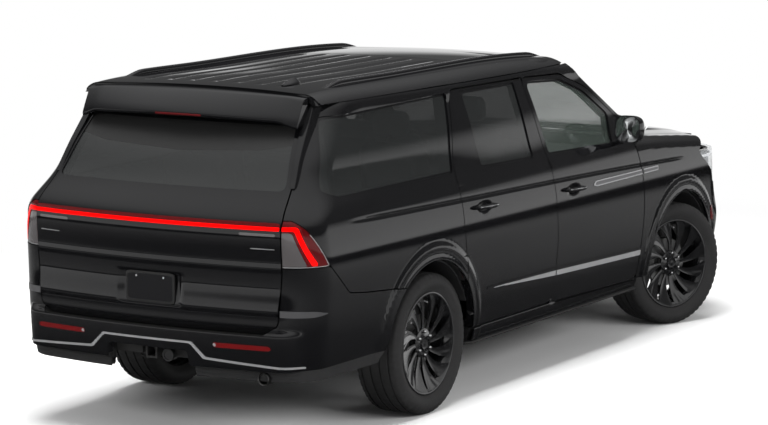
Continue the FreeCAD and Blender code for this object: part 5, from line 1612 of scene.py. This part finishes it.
@dataclass
class SideTrim:
    """Handles, mouldings, mirrors, steps, roof rails and antenna."""

    shop: Workshop
    skins: BodySkins
    handles: tuple[tuple[str, float, float], ...] = (("rear", 591.0, 1129.0), ("front", 1724.0, 1098.0))
    handle_half: float = 122.0
    step_inner: float = 868.0
    rail_y: float = 665.0
    rail_from: float = -690.0
    rail_to: float = 2010.0
    antenna_at: tuple[float, float] = (-610.0, -439.0)
    antenna_half: float = 30.0
    antenna_high: float = 31.0
    mirror_at: tuple[float, float, float] = (2352.0, 1104.0, 1416.0)
    mirror_half: tuple[float, float, float] = (74.0, 90.0, 88.0)

    def mounted(self, shape: Shape, side: Side, name: str, body: str, finish: str, slot: str,
                bevel: float = 0.0, sharp: float = 32.0, replaces: Sequence[str] = ()) -> bpy.types.Object:
        """Mount a shape made on the right side on the given side.

        Args:
            shape: The shape on the right side.
            side: The side that it goes to.
            name: Its name without the side.
            body: Its body, with {} for the side.
            finish: Its finish.
            slot: Its slot.
            bevel: Width of its edge rounding.
            sharp: Turn of an edge that stays sharp.
            replaces: CAD nodes that it stands for.

        Returns:
            The piece.
        """
        if side is Side.LEFT:
            shape = shape.moved(lambda p: p * [1, -1, 1], flip=True)
        obj = shape.build(f"{name}_{side.label}", sharp, bevel)
        return self.shop.mount(obj, body.format(side.label), finish, slot, replaces)

    def skin_y(self, x: float, z: float) -> float:
        """The right skin's place across the vehicle."""
        return -float(FORM.half_width(np.array(x), np.array(z))) - self.skins.proud

    def door_handles(self, side: Side) -> None:
        """Wing-shaped grips on two feet over their cups."""
        half = self.handle_half
        s = np.linspace(-1, 1, 25)

        def section(t: float) -> Array:
            """Section of a grip, thin at both ends."""
            u = abs(2 * t - 1)
            return oval(4.0 + 4.5 * (1 - u ** 6), 5.0 + 9.0 * (1 - u ** 4), 20, 3.0)

        for end, x, z in self.handles:
            y = self.skin_y(x, z)
            body = f"{end}_door_{{}}"
            path = np.stack([x + half * s, y - 27 - 5 * (1 - s ** 2), z + 1.5 - 4 * s], -1)
            grip = bar(path, (0, 1, 0), (0, 0, 1), section)
            self.mounted(grip, side, f"{end}_handle_grip", body, "gloss_black", "paint", sharp=50)
            line = np.stack([x + (half - 14) * s, y - 34.5 - 5 * (1 - s ** 2), z + 4.0 - 4 * s], -1)
            trim = bar(line, (0, 1, 0), (0, 0, 1), lambda t: oval(1.2, 2.6, 8, 2.2))
            self.mounted(trim, side, f"{end}_handle_line", body, "satin_metal", "satin_metal", sharp=50)
            for index, dx in enumerate((-88.0, 88.0)):
                foot = bar([[x + dx, y + out, z] for out in (14, -8, -27)], (1, 0, 0), (0, 0, 1),
                           lambda t: oval(20 - 6 * t, 11 - 2 * t, 20, 2.8))
                self.mounted(foot, side, f"{end}_handle_foot_{index + 1}", body, "gloss_black", "paint")

    def mouldings(self, side: Side) -> None:
        """Pointed mouldings low on the doors, a long blank trim behind the front wheel and a marker."""
        zone = self.skins.flank().inside(oblong(560, 2780, 520, 700)).finer()
        wedge = [(640, 646, 2), (1500, 640, 0), (2712, 597, 4), (2712, 546, 4), (1500, 586, 0),
                 (640, 630, 2)]
        bright = [(700, 636, 0), (1500, 622, 0), (2706, 584, 2), (2706, 552, 2), (1500, 592, 0),
                  (700, 632, 0)]
        for name, outline, finish, out in (("moulding_base", wedge, "gloss_black", 13.5),
                                           ("moulding_line", bright, "satin_metal", 16.5)):
            whole = zone.inside(outline)
            for end, door in (("rear", REAR_DOOR), ("front", FRONT_DOOR)):
                cut = whole.inside(door, grow=-SHUT / 2 - 3)
                self.skins.panel(cut, side, f"{end}_{name}", f"{end}_door_{{}}", 8.0, finish, "satin_metal",
                                 out)
        high = self.skins.flank().inside(oblong(1900, 2760, 1040, 1130)).finer()
        ahead = self.skins.wing().inside(oblong(2700, 3000, 1040, 1130)).finer()
        frame_line = [(1987, 1090, 4), (2030, 1112, 12), (2937, 1108, 5), (2937, 1080, 5), (2030, 1078, 12)]
        core = [(2006, 1091, 2), (2034, 1106, 8), (2930, 1102, 3), (2930, 1086, 3), (2034, 1084, 8)]
        behind = [(2758, 900, 0), (2700, 1180, 0), (1800, 1180, 0), (1800, 900, 0)]
        for name, outline, finish, out in (("vent_frame", frame_line, "satin_metal", 13.0),
                                           ("vent_plate", core, "dark_metal", 14.5)):
            door_part = high.inside(outline).inside(FRONT_DOOR, grow=-SHUT / 2 - 2)
            self.skins.panel(door_part, side, f"{name}_door", "front_door_{}", 4.0, finish, "satin_metal",
                             out)
            wing_part = ahead.inside(outline).inside(WING_EDGE, grow=-2.0).without(behind)
            self.skins.panel(wing_part, side, f"{name}_wing", "body", 4.0, finish, "satin_metal", out)
        marker = self.skins.wing().inside([(3790, 741, 8), (3836, 741, 8), (3846, 640, 8), (3808, 640, 8)])
        self.skins.panel(marker, side, "side_marker", "body", 4.0, "lamp_deep_red", "lamp_red", 11.0)

    def mirror(self, side: Side) -> None:
        """Door mirror: cap, glass, stalk, turn signal and the plate at its foot."""
        cx, cy, cz = self.mirror_at
        hx, hy, hz = self.mirror_half
        body = "front_door_{}"
        centre = np.array([cx, -cy, cz])
        rows = []
        for u in np.linspace(0, 1, 16):
            size = (1 - u ** 2.6) ** 0.5 if u < 1 else 0.02
            ring = oval(hy * (0.93 + 0.07 * math.sin(math.pi * u)) * size, hz * size, 40, 3.2)
            skew = -0.10 * ring[:, 0] * (1 - u)
            x = cx - hx + 2 * hx * u + skew
            rows.append(np.stack([x, -cy + ring[:, 0], cz + ring[:, 1] - 6 * u], -1))
        lip = rows[0] - centre
        edge = centre + lip * [1.0, 0.93, 0.93]
        floor = centre + lip * [1.0, 0.92, 0.92] + [9.0, 0, 0]
        cap = lofted([floor, edge] + rows)
        self.mounted(cap, side, "mirror_cap", body, "gloss_black", "paint", 1.5, 40)
        face = floor + [-3.0, 0, 0]
        dome = [centre + (face - centre) * [1.0, f, f] - [2.5 * (1 - f * f), 0, 0]
                for f in (0.99, 0.8, 0.55, 0.28, 0.02)]
        glass = lofted([face + [4.0, 0, 0], face] + dome)
        self.mounted(glass, side, "mirror_pane", body, "mirror_glass", "glass_dark", 0.0, 40)
        stalk = [[2392, -938, 1300], [2392, -985, 1316], [2385, -1030, 1332], [2378, -1062, 1352]]
        arm = bar(stalk, (1, 0, 0), (0, 0.3, 0.95), lambda t: oval(40 - 8 * t, 19 + 4 * t, 24, 2.6))
        self.mounted(arm, side, "mirror_stalk", body, "gloss_black", "paint", 1.5, 40)
        turn = np.linspace(-0.5, 0.8, 12)
        path = np.stack([cx + 30 - 34 * (turn - 0.15) ** 2, -cy - hy * 0.985 + 9 * (turn - 0.1) ** 2 * 2,
                         cz + 14 + 36 * turn], -1)
        signal = bar(path, (0.94, -0.34, 0), (0.34, 0.94, 0), lambda t: oval(5.0, 2.6, 12, 2.4))
        self.mounted(signal, side, "mirror_signal", body, "signal_white", "lamp_clear", 0.0, 50)
        sail = [(2430, 1296, 6), (2345, 1306, 6), (2392, 1492, 10), (2560, 1400, 20), (2590, 1330, 10)]
        corner = self.skins.flank().inside(sail).inside(FRONT_DOOR, grow=-SHUT / 2 - 2)
        self.skins.panel(corner, side, "mirror_sail", body, 5.0, "gloss_black", "trim_black", 11.0)

    def step(self, side: Side) -> None:
        """Side step with a rounded outer edge, drawn in at both ends."""
        low, high = (np.array(v) * 1000.0 - [REAR_AXLE, 0, 0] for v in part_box("side_steps"))
        top, base, out = high[2], low[2], high[1]
        x0, x1 = low[0], high[0]
        inner = self.step_inner
        profile = np.array([(inner, base + 4), (inner, top), (out - 22, top), (out - 6, top - 3),
                            (out, top - 9), (out - 3, base + 3), (out - 12, base)], float)
        rows = []
        ends = spread(x0, x0 + 60, 8), spread(x0 + 60, x1 - 90, 120), spread(x1 - 90, x1, 8)
        for x in np.unique(np.concatenate(ends)):
            pull = 26 * (1 - ease(x, x0, x0 + 60)) + 60 * (1 - ease(x1 - x, 0, 90))
            y = inner + (profile[:, 0] - inner) * (1 - pull / 122)
            rows.append(xyz(x, -y, profile[:, 1]))
        self.mounted(lofted(rows), side, "side_step", "body", "satin_black", "trim_black", 2.0, 30,
                     ["side_steps"])

    def rail(self, side: Side) -> None:
        """Roof rail, tapered at both ends."""
        rows = []
        for x in spread(self.rail_from, self.rail_to, 40.0):
            base = float(FORM.ROOF(np.array(x))) - FORM.ROOF_CROWN * self.rail_y ** 2 - 2.0
            lift = float(ease(x, self.rail_from, self.rail_from + 230) * ease(self.rail_to - x, 0, 280))
            rise = 5.0 + 33.0 * lift
            ring = oval(1.0, 1.0, 24, 3.4)
            width = 17.0 - 4.0 * np.clip(ring[:, 1], 0, 1)
            y = -self.rail_y + ring[:, 0] * width
            rows.append(xyz(x, y, base + rise / 2 + ring[:, 1] * rise / 2))
        self.mounted(lofted(rows), side, "roof_rail", "body", "gloss_black", "trim_black", 0.0, 50,
                     ["roof_rails"])

    def antenna(self) -> None:
        """Low fin-shaped antenna on the roof."""
        x0, y0 = self.antenna_at
        base = float(FORM.ROOF(np.array(x0))) - FORM.ROOF_CROWN * y0 * y0 + self.skins.proud
        rows = []
        for t in np.linspace(0, 1, 22):
            h = self.antenna_high * math.sin(math.pi * t ** 0.62) ** 0.8 + 0.5 if 0 < t < 1 else 0.5
            w = self.antenna_half * math.sin(math.pi * min(0.999, 0.08 + 0.9 * t)) ** 0.55 + 0.5
            ring = np.linspace(0, math.pi, 15)
            y = y0 + w * np.cos(ring) * (1 - 0.75 * np.sin(ring) ** 2.2)
            z = base - 3 + (h + 3) * np.sin(ring) ** 1.15
            rows.append(xyz(x0 + 84 - 168 * t, y, z))
        self.shop.mount(lofted(rows).build("roof_antenna", 50), "body", "gloss_black", "trim_black")

    def build(self) -> None:
        """Fit the trim to both sides."""
        for side in Side:
            self.door_handles(side)
            self.mouldings(side)
            self.mirror(side)
            self.step(side)
            self.rail(side)
        self.antenna()


@dataclass
class Front:
    """Nose skin, grille frame, headlamps and wipers."""

    shop: Workshop
    skins: BodySkins
    seam: float = 3869.0
    line_from: float = 792.0
    line_step: float = 61.0
    lens_y: tuple[float, ...] = (668.0, 752.0, 836.0)
    lens_z: float = 1010.0
    wiper_z: float = 1338.0

    def build(self) -> None:
        """Fit the front end."""
        nose = self.skins.nose()
        opening = [(-560, 760, 60), (-600, 1120, 40), (600, 1120, 40), (560, 760, 60)]
        side_line = [(self.seam, 200, 0), (self.seam, 760, 60), (3857, 886, 0), (4400, 886, 0),
                     (4400, 200, 0)]
        skin = nose.inside(side_line).without(opening, "yz", grow=4.0)
        skin = skin.trim(332.0 - skin.z)
        skin = self.skins.opened(skin, WHEELBASE, FORM.ARCH_R)
        intake = [(-560, 420, 30), (-500, 560, 60), (500, 560, 60), (560, 420, 30)]
        proud = self.skins.proud
        skin = skin.without(intake, "yz")
        self.shop.lay(skin, "front_bumper_skin", "body", "paint_black", "paint", proud, 30.0)
        mesh = nose.inside(intake, "yz").sunk(14.0)
        ribs = reshaped(mesh, 5.0 * np.cos(2 * np.pi * mesh.z / 24.0))
        self.shop.mount(ribs.build("front_intake", 10.0), "body", "moulded_black", "trim_black")
        ring = nose.inside(opening, "yz", grow=3.0).without(opening, "yz", grow=-15.0)
        self.shop.lay(ring, "grille_frame", "body", "satin_metal", "satin_metal", proud + 3.0, 10.0)
        grille = nose.inside(opening, "yz", grow=-15.0)
        for row in range(6):
            z = self.line_from + self.line_step * row
            line = grille.inside(oblong(-600, 600, z - 5, z + 5), "yz")
            self.shop.lay(line, f"grille_line_{row + 1}", "body", "dark_metal", "satin_metal", 3.0, 5.0)
        self.lamps(nose)
        self.wipers()

    def lamps(self, nose: Patch) -> None:
        """Headlamps: dark bowl, clear cover, light pipes and lenses."""
        zone = [(3607, 1126, 20), (3819, 980, 40), (3857, 893, 0), (4300, 893, 0), (4300, 1126, 0)]
        right = nose.trim(nose.y + 607.0).inside(zone)
        upper = right.inside(oblong(3500, 4300, 1078, 1096))
        lower = right.inside(oblong(3500, 4300, 930, 944))
        pieces = (("bowl", right, 25.0, "gloss_black", -22.0, ["headlamps"]),
                  ("cover", right, 20.0, "lamp_clear", 4.0, []),
                  ("pipe_high", upper, 8.0, "lamp_white", -6.0, []),
                  ("pipe_low", lower, 8.0, "lamp_white", -6.0, []))
        lens = Shape().spun([(0, 0.1), (0, 27), (18, 31), (20, 26), (14, 14), (12, 0.1)], 32, closed=False)
        for side in Side:
            for name, piece, depth, finish, out, nodes in pieces:
                self.skins.panel(piece, side, f"headlamp_{name}", "body", depth, finish, "lamp_clear", out,
                                 nodes)
            for index, y in enumerate(self.lens_y):
                x = float(FORM.NOSE(np.array(self.lens_z))) - FORM.NOSE_CROWN * y * y
                turned = lens.facing(1.0, (x - 46 - 22 * index, side.value * y, self.lens_z))
                self.shop.mount(turned.build(f"headlamp_lens_{side.label}_{index + 1}"), "body", "lamp_white",
                                "lamp_clear")

    def wipers(self) -> None:
        """Two wipers resting at the foot of the windscreen."""
        for hand, start, end in (("right", -60.0, -690.0), ("left", 640.0, 40.0)):
            y = np.linspace(start, end, 13)
            z = self.wiper_z + 14 * np.linspace(0, 1, 13)
            x = FORM.SCREEN(z) - FORM.SCREEN_CROWN * y * y
            path = np.stack([x + 6, y, z + 9], -1)
            blade = bar(path, (0.5, 0, 0.86), (0.86, 0, -0.5), lambda t: oval(5, 9, 12, 2.6))
            self.shop.mount(blade.build(f"wiper_{hand}"), "body", "satin_black", "trim_black")


@dataclass
class Cabin:
    """Padded seats on their stands."""

    shop: Workshop
    voxel: float = 23.0
    pressure: float = 4.0
    cap: float = 26.0
    frames: int = 20
    rows: tuple[tuple[str, float, float, float], ...] = (
        ("front", 1780.0, 420.0, 1.0), ("middle", 850.0, 420.0, 1.0), ("rear", -150.0, 288.0, 1.05))
    base: float = 800.0
    chair_width: float = 540.0

    @staticmethod
    def pad(half: tuple[float, float, float], power: float = 5.0) -> Shape:
        """Rounded pad about the origin with the given half sizes."""
        rows = []
        for w in np.linspace(-1, 1, 13):
            size = max(0.02, (1 - abs(w) ** power) ** (1 / power))
            ring = oval(half[0] * size, half[1] * size, 48, power)
            rows.append(xyz(ring[:, 0], ring[:, 1], half[2] * w))
        return lofted(rows)

    @staticmethod
    def applied(obj: bpy.types.Object) -> bpy.types.Mesh:
        """New mesh of an object with its modifiers applied."""
        graph = bpy.context.evaluated_depsgraph_get()
        return bpy.data.meshes.new_from_object(obj.evaluated_get(graph))

    @staticmethod
    def read(mesh: bpy.types.Mesh, what: str) -> Array:
        """A three-number value of every vertex."""
        values = np.empty(len(mesh.vertices) * 3)
        mesh.vertices.foreach_get(what, values)
        return values.reshape(-1, 3)

    def swollen(self, name: str, half: tuple[float, float, float]) -> bpy.types.Mesh:
        """Mesh of a pad blown up as cloth, once for all the pads of its kind.

        Args:
            name: Name of the mesh.
            half: The pad's half sizes before it swells.

        Returns:
            The mesh, centred on the origin, in metres.
        """
        obj = self.pad(half).moved(lambda p: p - [REAR_AXLE, 0, 0]).build(name + "_form")
        remesh = obj.modifiers.new("even", "REMESH")
        remesh.mode = "VOXEL"
        remesh.voxel_size = self.voxel * MM
        even = self.applied(obj)
        obj.modifiers.clear()
        obj.data = even
        start = self.read(even, "co")
        cloth = obj.modifiers.new("swell", "CLOTH")
        cloth.settings.use_pressure = True
        cloth.settings.uniform_pressure_force = self.pressure
        cloth.settings.effector_weights.gravity = 0.0
        cloth.point_cache.frame_end = self.frames
        for step in range(1, self.frames + 1):
            bpy.context.scene.frame_set(step)
        move = self.read(self.applied(obj), "co") - start
        size = np.maximum(np.linalg.norm(move, axis=1, keepdims=True), 1e-9)
        move *= np.minimum(1.0, self.cap * MM / size)
        obj.modifiers.clear()
        obj.data = even
        even.vertices.foreach_set("co", (start + move).ravel())
        bpy.context.scene.frame_set(1)
        smooth = obj.modifiers.new("smooth", "SUBSURF")
        smooth.levels = smooth.render_levels = 1
        mesh = self.applied(obj)
        mesh.name = name
        bpy.data.objects.remove(obj)
        self.sew(mesh, half)
        return mesh

    @staticmethod
    def sew(mesh: bpy.types.Mesh, half: tuple[float, float, float]) -> None:
        """Draw in the sewn channels across and round the pad's upper face."""
        co, normal = Cabin.read(mesh, "co"), Cabin.read(mesh, "normal")
        x, y = co[:, 0] / MM, co[:, 1] / MM
        up = np.clip(normal[:, 2], 0, 1)
        channels = sum(np.exp(-((x - a) / 8.0) ** 2) for a in np.linspace(-0.6, 0.6, 5) * half[0])
        channels = channels * ease(half[1] * 0.62 - np.abs(y), 0, 15)
        border = np.exp(-((np.abs(y) - half[1] * 0.64) / 8.0) ** 2)
        depth = 7.0 * np.clip(channels + border, 0, 1) * up
        mesh.vertices.foreach_set("co", (co - normal * (depth * MM)[:, None]).ravel())
        mesh.polygons.foreach_set("use_smooth", np.ones(len(mesh.polygons), bool))
        mesh.update()

    def placed(self, mesh: bpy.types.Mesh, name: str, node: str, at: tuple[float, float, float], tilt: float,
               widen: float = 1.0) -> None:
        """Mount a copy of a pad.

        Args:
            mesh: The pad's mesh.
            name: The piece's name.
            node: The CAD node that it stands for.
            at: Place of its middle.
            tilt: Its turn about the Y axis in degrees.
            widen: Its stretch across the vehicle.
        """
        own = mesh.copy()
        own.transform(Matrix.Translation(Vector((at[0] + REAR_AXLE, at[1], at[2])) * MM)
                      @ Matrix.Rotation(math.radians(tilt), 4, "Y") @ Matrix.Diagonal((1.0, widen, 1.0, 1.0)))
        obj = linked(name, own)
        self.shop.mount(obj, "body", "leather", "leather", [node])

    def build(self) -> None:
        """Make the seats."""
        width = self.chair_width / 2 - 14
        cushion = self.swollen("seat_cushion", (240, width, 52))
        back = self.swollen("seat_back", (318, width, 46))
        rest = self.swollen("head_rest", (78, 118, 40))
        for row, x, apart, widen in self.rows:
            node = f"{row}_seats"
            for index, y in enumerate((-apart, apart)):
                tag = f"{row}_{index + 1}"
                self.placed(cushion, f"cushion_{tag}", node, (x + 15, y, self.base + 68), 0.0, widen)
                self.placed(back, f"backrest_{tag}", node, (x - 262, y, self.base + 392), 77.0 + 180.0, widen)
                self.placed(rest, f"headrest_{tag}", node, (x - 334, y, self.base + 790), 86.0 + 180.0)
                low = block((x - 190, x + 190), (y - 200, y + 200), (600.0, self.base + 10))
                stand = low.build(f"seat_stand_{tag}", bevel=12.0)
                self.shop.mount(stand, "body", "moulded_black", "leather", [node])


# Camera, light and floor


@dataclass
class Studio:
    """Camera, lamps, world and floor of the portrait."""

    spot: tuple[float, float, float] = (-15.65201839, -9.13283741, 3.53170167)
    yaw: float = 30.722
    pitch: float = 8.1927
    roll: float = -0.104
    focal_px: float = 2926.09
    centre_px: tuple[float, float] = (384.05, 211.25)
    frame_px: tuple[int, int] = (768, 425)
    sensor: float = 36.0
    boxes: tuple[tuple, ...] = (
        ("overhead_box", (-0.5, 0.0, 7.5), (-0.5, 0.0, 0.0), (9.0, 5.0), 1250.0),
        ("side_box", (-2.0, -9.0, 4.5), (-0.5, 0.0, 0.8), (9.0, 2.5), 520.0),
        ("rear_box", (-10.0, 2.0, 4.5), (-2.0, 0.0, 0.8), (5.0, 2.5), 330.0))
    ambient: float = 0.3
    floor_half: float = 60.0
    fade_along: float = 0.62
    white_from: float = 2.6
    white_to: float = 5.0
    sky: tuple[tuple[float, float], ...] = (
        (-1.0, 0.02), (-0.42, 0.03), (-0.27, 0.08), (-0.2, 0.26), (-0.158, 0.4), (-0.14, 0.02),
        (-0.118, 0.02), (-0.108, 1.0), (0.045, 0.85), (0.09, 0.1), (0.3, 0.1), (0.5, 0.3), (0.75, 0.75),
        (1.0, 0.9))

    def camera(self) -> None:
        """Place the camera as the photographer's stood."""
        data = bpy.data.cameras.new("portrait_camera")
        data.sensor_width = self.sensor
        data.lens = self.focal_px / self.frame_px[0] * self.sensor
        data.shift_x = (self.frame_px[0] / 2 - self.centre_px[0]) / self.frame_px[0]
        data.shift_y = (self.centre_px[1] - self.frame_px[1] / 2) / self.frame_px[0]
        data.clip_end = 200.0
        obj = linked("portrait_camera", data)
        yaw, pitch = math.radians(self.yaw), math.radians(self.pitch)
        ahead = Vector((math.cos(pitch) * math.cos(yaw), math.cos(pitch) * math.sin(yaw), -math.sin(pitch)))
        obj.rotation_mode = "QUATERNION"
        turn = ahead.to_track_quat("-Z", "Y")
        roll = Matrix.Rotation(math.radians(self.roll), 4, "Z").to_quaternion()
        obj.rotation_quaternion = turn @ roll
        obj.location = self.spot
        bpy.context.scene.camera = obj

    def lamp(self, name: str, at: tuple[float, float, float], aim: tuple[float, float, float],
             size: tuple[float, float], power: float) -> None:
        """Add a soft box.

        Args:
            name: The lamp's name.
            at: Its place.
            aim: The point that it faces.
            size: Its width and height.
            power: Its power in watts.
        """
        data = bpy.data.lights.new(name, "AREA")
        data.shape = "RECTANGLE"
        data.size, data.size_y = size
        data.energy = power
        obj = linked(name, data)
        obj.location = at
        way = Vector(aim) - Vector(at)
        obj.rotation_mode = "QUATERNION"
        obj.rotation_quaternion = way.to_track_quat("-Z", "Y")
        obj.visible_glossy = False

    def world(self) -> None:
        """White to camera and glass, a bright horizon over grey ground to gloss, soft grey light."""
        world = bpy.data.worlds.new("studio_world")
        world.use_nodes = True
        bpy.context.scene.world = world
        t = Tree(world.node_tree)
        white = t.add("ShaderNodeBackground", Color=(1.0, 1.0, 1.0, 1.0))
        dim = t.add("ShaderNodeBackground", Color=(1.0, 1.0, 1.0, 1.0), Strength=self.ambient)
        gloss = t.add("ShaderNodeBackground")
        place = t.add("ShaderNodeTexCoord")
        parts = t.add("ShaderNodeSeparateXYZ")
        t.link(place.outputs["Generated"], parts, "Vector")
        height = t.math("MULTIPLY", t.math("ADD", parts.outputs["Z"], 1.0), 0.5)
        sky = t.ramp(height, *[(0.5 + 0.5 * z, (level,) * 3) for z, level in self.sky])
        t.link(sky, gloss, "Color")
        path = t.add("ShaderNodeLightPath")
        clear = t.math("MAXIMUM", path.outputs["Is Camera Ray"], path.outputs["Is Transmission Ray"])
        soft = t.blend(path.outputs["Is Glossy Ray"], dim, gloss)
        final = t.blend(clear, soft, white)
        t.link(final.outputs[0], world.node_tree.nodes["World Output"], "Surface")

    def floor(self) -> None:
        """Pale floor that keeps the shadow, white further out."""
        mesh = bpy.data.meshes.new("studio_floor")
        half = self.floor_half
        mesh.from_pydata([(-half, -half, 0), (half, -half, 0), (half, half, 0), (-half, half, 0)], [],
                         [(0, 1, 2, 3)])
        obj = linked("studio_floor", mesh)
        material = bpy.data.materials.new("studio_floor")
        material.use_nodes = True
        t = Tree(material.node_tree)
        shader = material.node_tree.nodes["Principled BSDF"]
        shader.inputs["Base Color"].default_value = (0.9, 0.9, 0.9, 1.0)
        shader.inputs["Roughness"].default_value = 0.9
        shader.inputs["Specular IOR Level"].default_value = 0.0
        place = t.add("ShaderNodeNewGeometry")
        parts = t.add("ShaderNodeSeparateXYZ")
        t.link(place.outputs["Position"], parts, "Vector")
        along = t.math("POWER", t.math("MULTIPLY", parts.outputs["X"], self.fade_along), 2.0)
        away = t.math("SQRT", t.math("ADD", along, t.math("POWER", parts.outputs["Y"], 2.0)))
        far = t.add("ShaderNodeMapRange", interpolation_type="SMOOTHSTEP", From_Min=self.white_from,
                    From_Max=self.white_to, Value=away)
        path = t.add("ShaderNodeLightPath")
        share = t.math("MULTIPLY", far.outputs["Result"], path.outputs["Is Camera Ray"])
        fade = t.blend(share, shader, t.add("ShaderNodeEmission"))
        t.link(fade.outputs[0], material.node_tree.nodes["Material Output"], "Surface")
        mesh.materials.append(material)
        obj.visible_glossy = False

    def build(self) -> None:
        """Set the whole stage."""
        bpy.context.scene.view_settings.view_transform = "Standard"
        self.camera()
        self.world()
        for name, at, aim, size, power in self.boxes:
            self.lamp(name, at, aim, size, power)
        self.floor()


def dress_nodes(shop: Workshop) -> None:
    """Give every CAD node its finish."""
    table = {"windscreen": "screen_glass", "chassis_frame": "frame_paint", "engine_block": "cast_metal",
             "driveline": "cast_metal", "floor_pan": "satin_black", "wheel_liners": "moulded_black",
             "dashboard": "moulded_black", "steering_wheel": "leather", "front_seats": "leather",
             "middle_seats": "leather", "rear_seats": "leather", "grille": "gloss_black",
             "headlamps": "lamp_clear", "side_steps": "moulded_black", "roof_rails": "satin_black",
             "front_suspension": "cast_metal", "rear_suspension": "cast_metal", "rear_bumper": "satin_black"}
    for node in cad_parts:
        finish = "cast_metal" if node.startswith("knuckle") else table.get(node, "paint_black")
        if node.startswith(("fender", "side_frame")):
            finish = "satin_black"
        shop.dress(node, finish)


def main() -> None:
    """Build the vehicle and its stage, sub-assembly by sub-assembly."""
    logging.basicConfig(level=logging.INFO, format="%(message)s")
    shop = Workshop()
    dress_nodes(shop)
    Cabin(shop).build()
    skins = BodySkins(shop)
    skins.build()
    Tail(shop, skins).build()
    for side in Side:
        RoadWheel(shop, 0.0, side, False).build()
        RoadWheel(shop, WHEELBASE, side, True).build()
    SideTrim(shop, skins).build()
    Front(shop, skins).build()
    Studio().build()


if __name__ == "__main__":
    main()
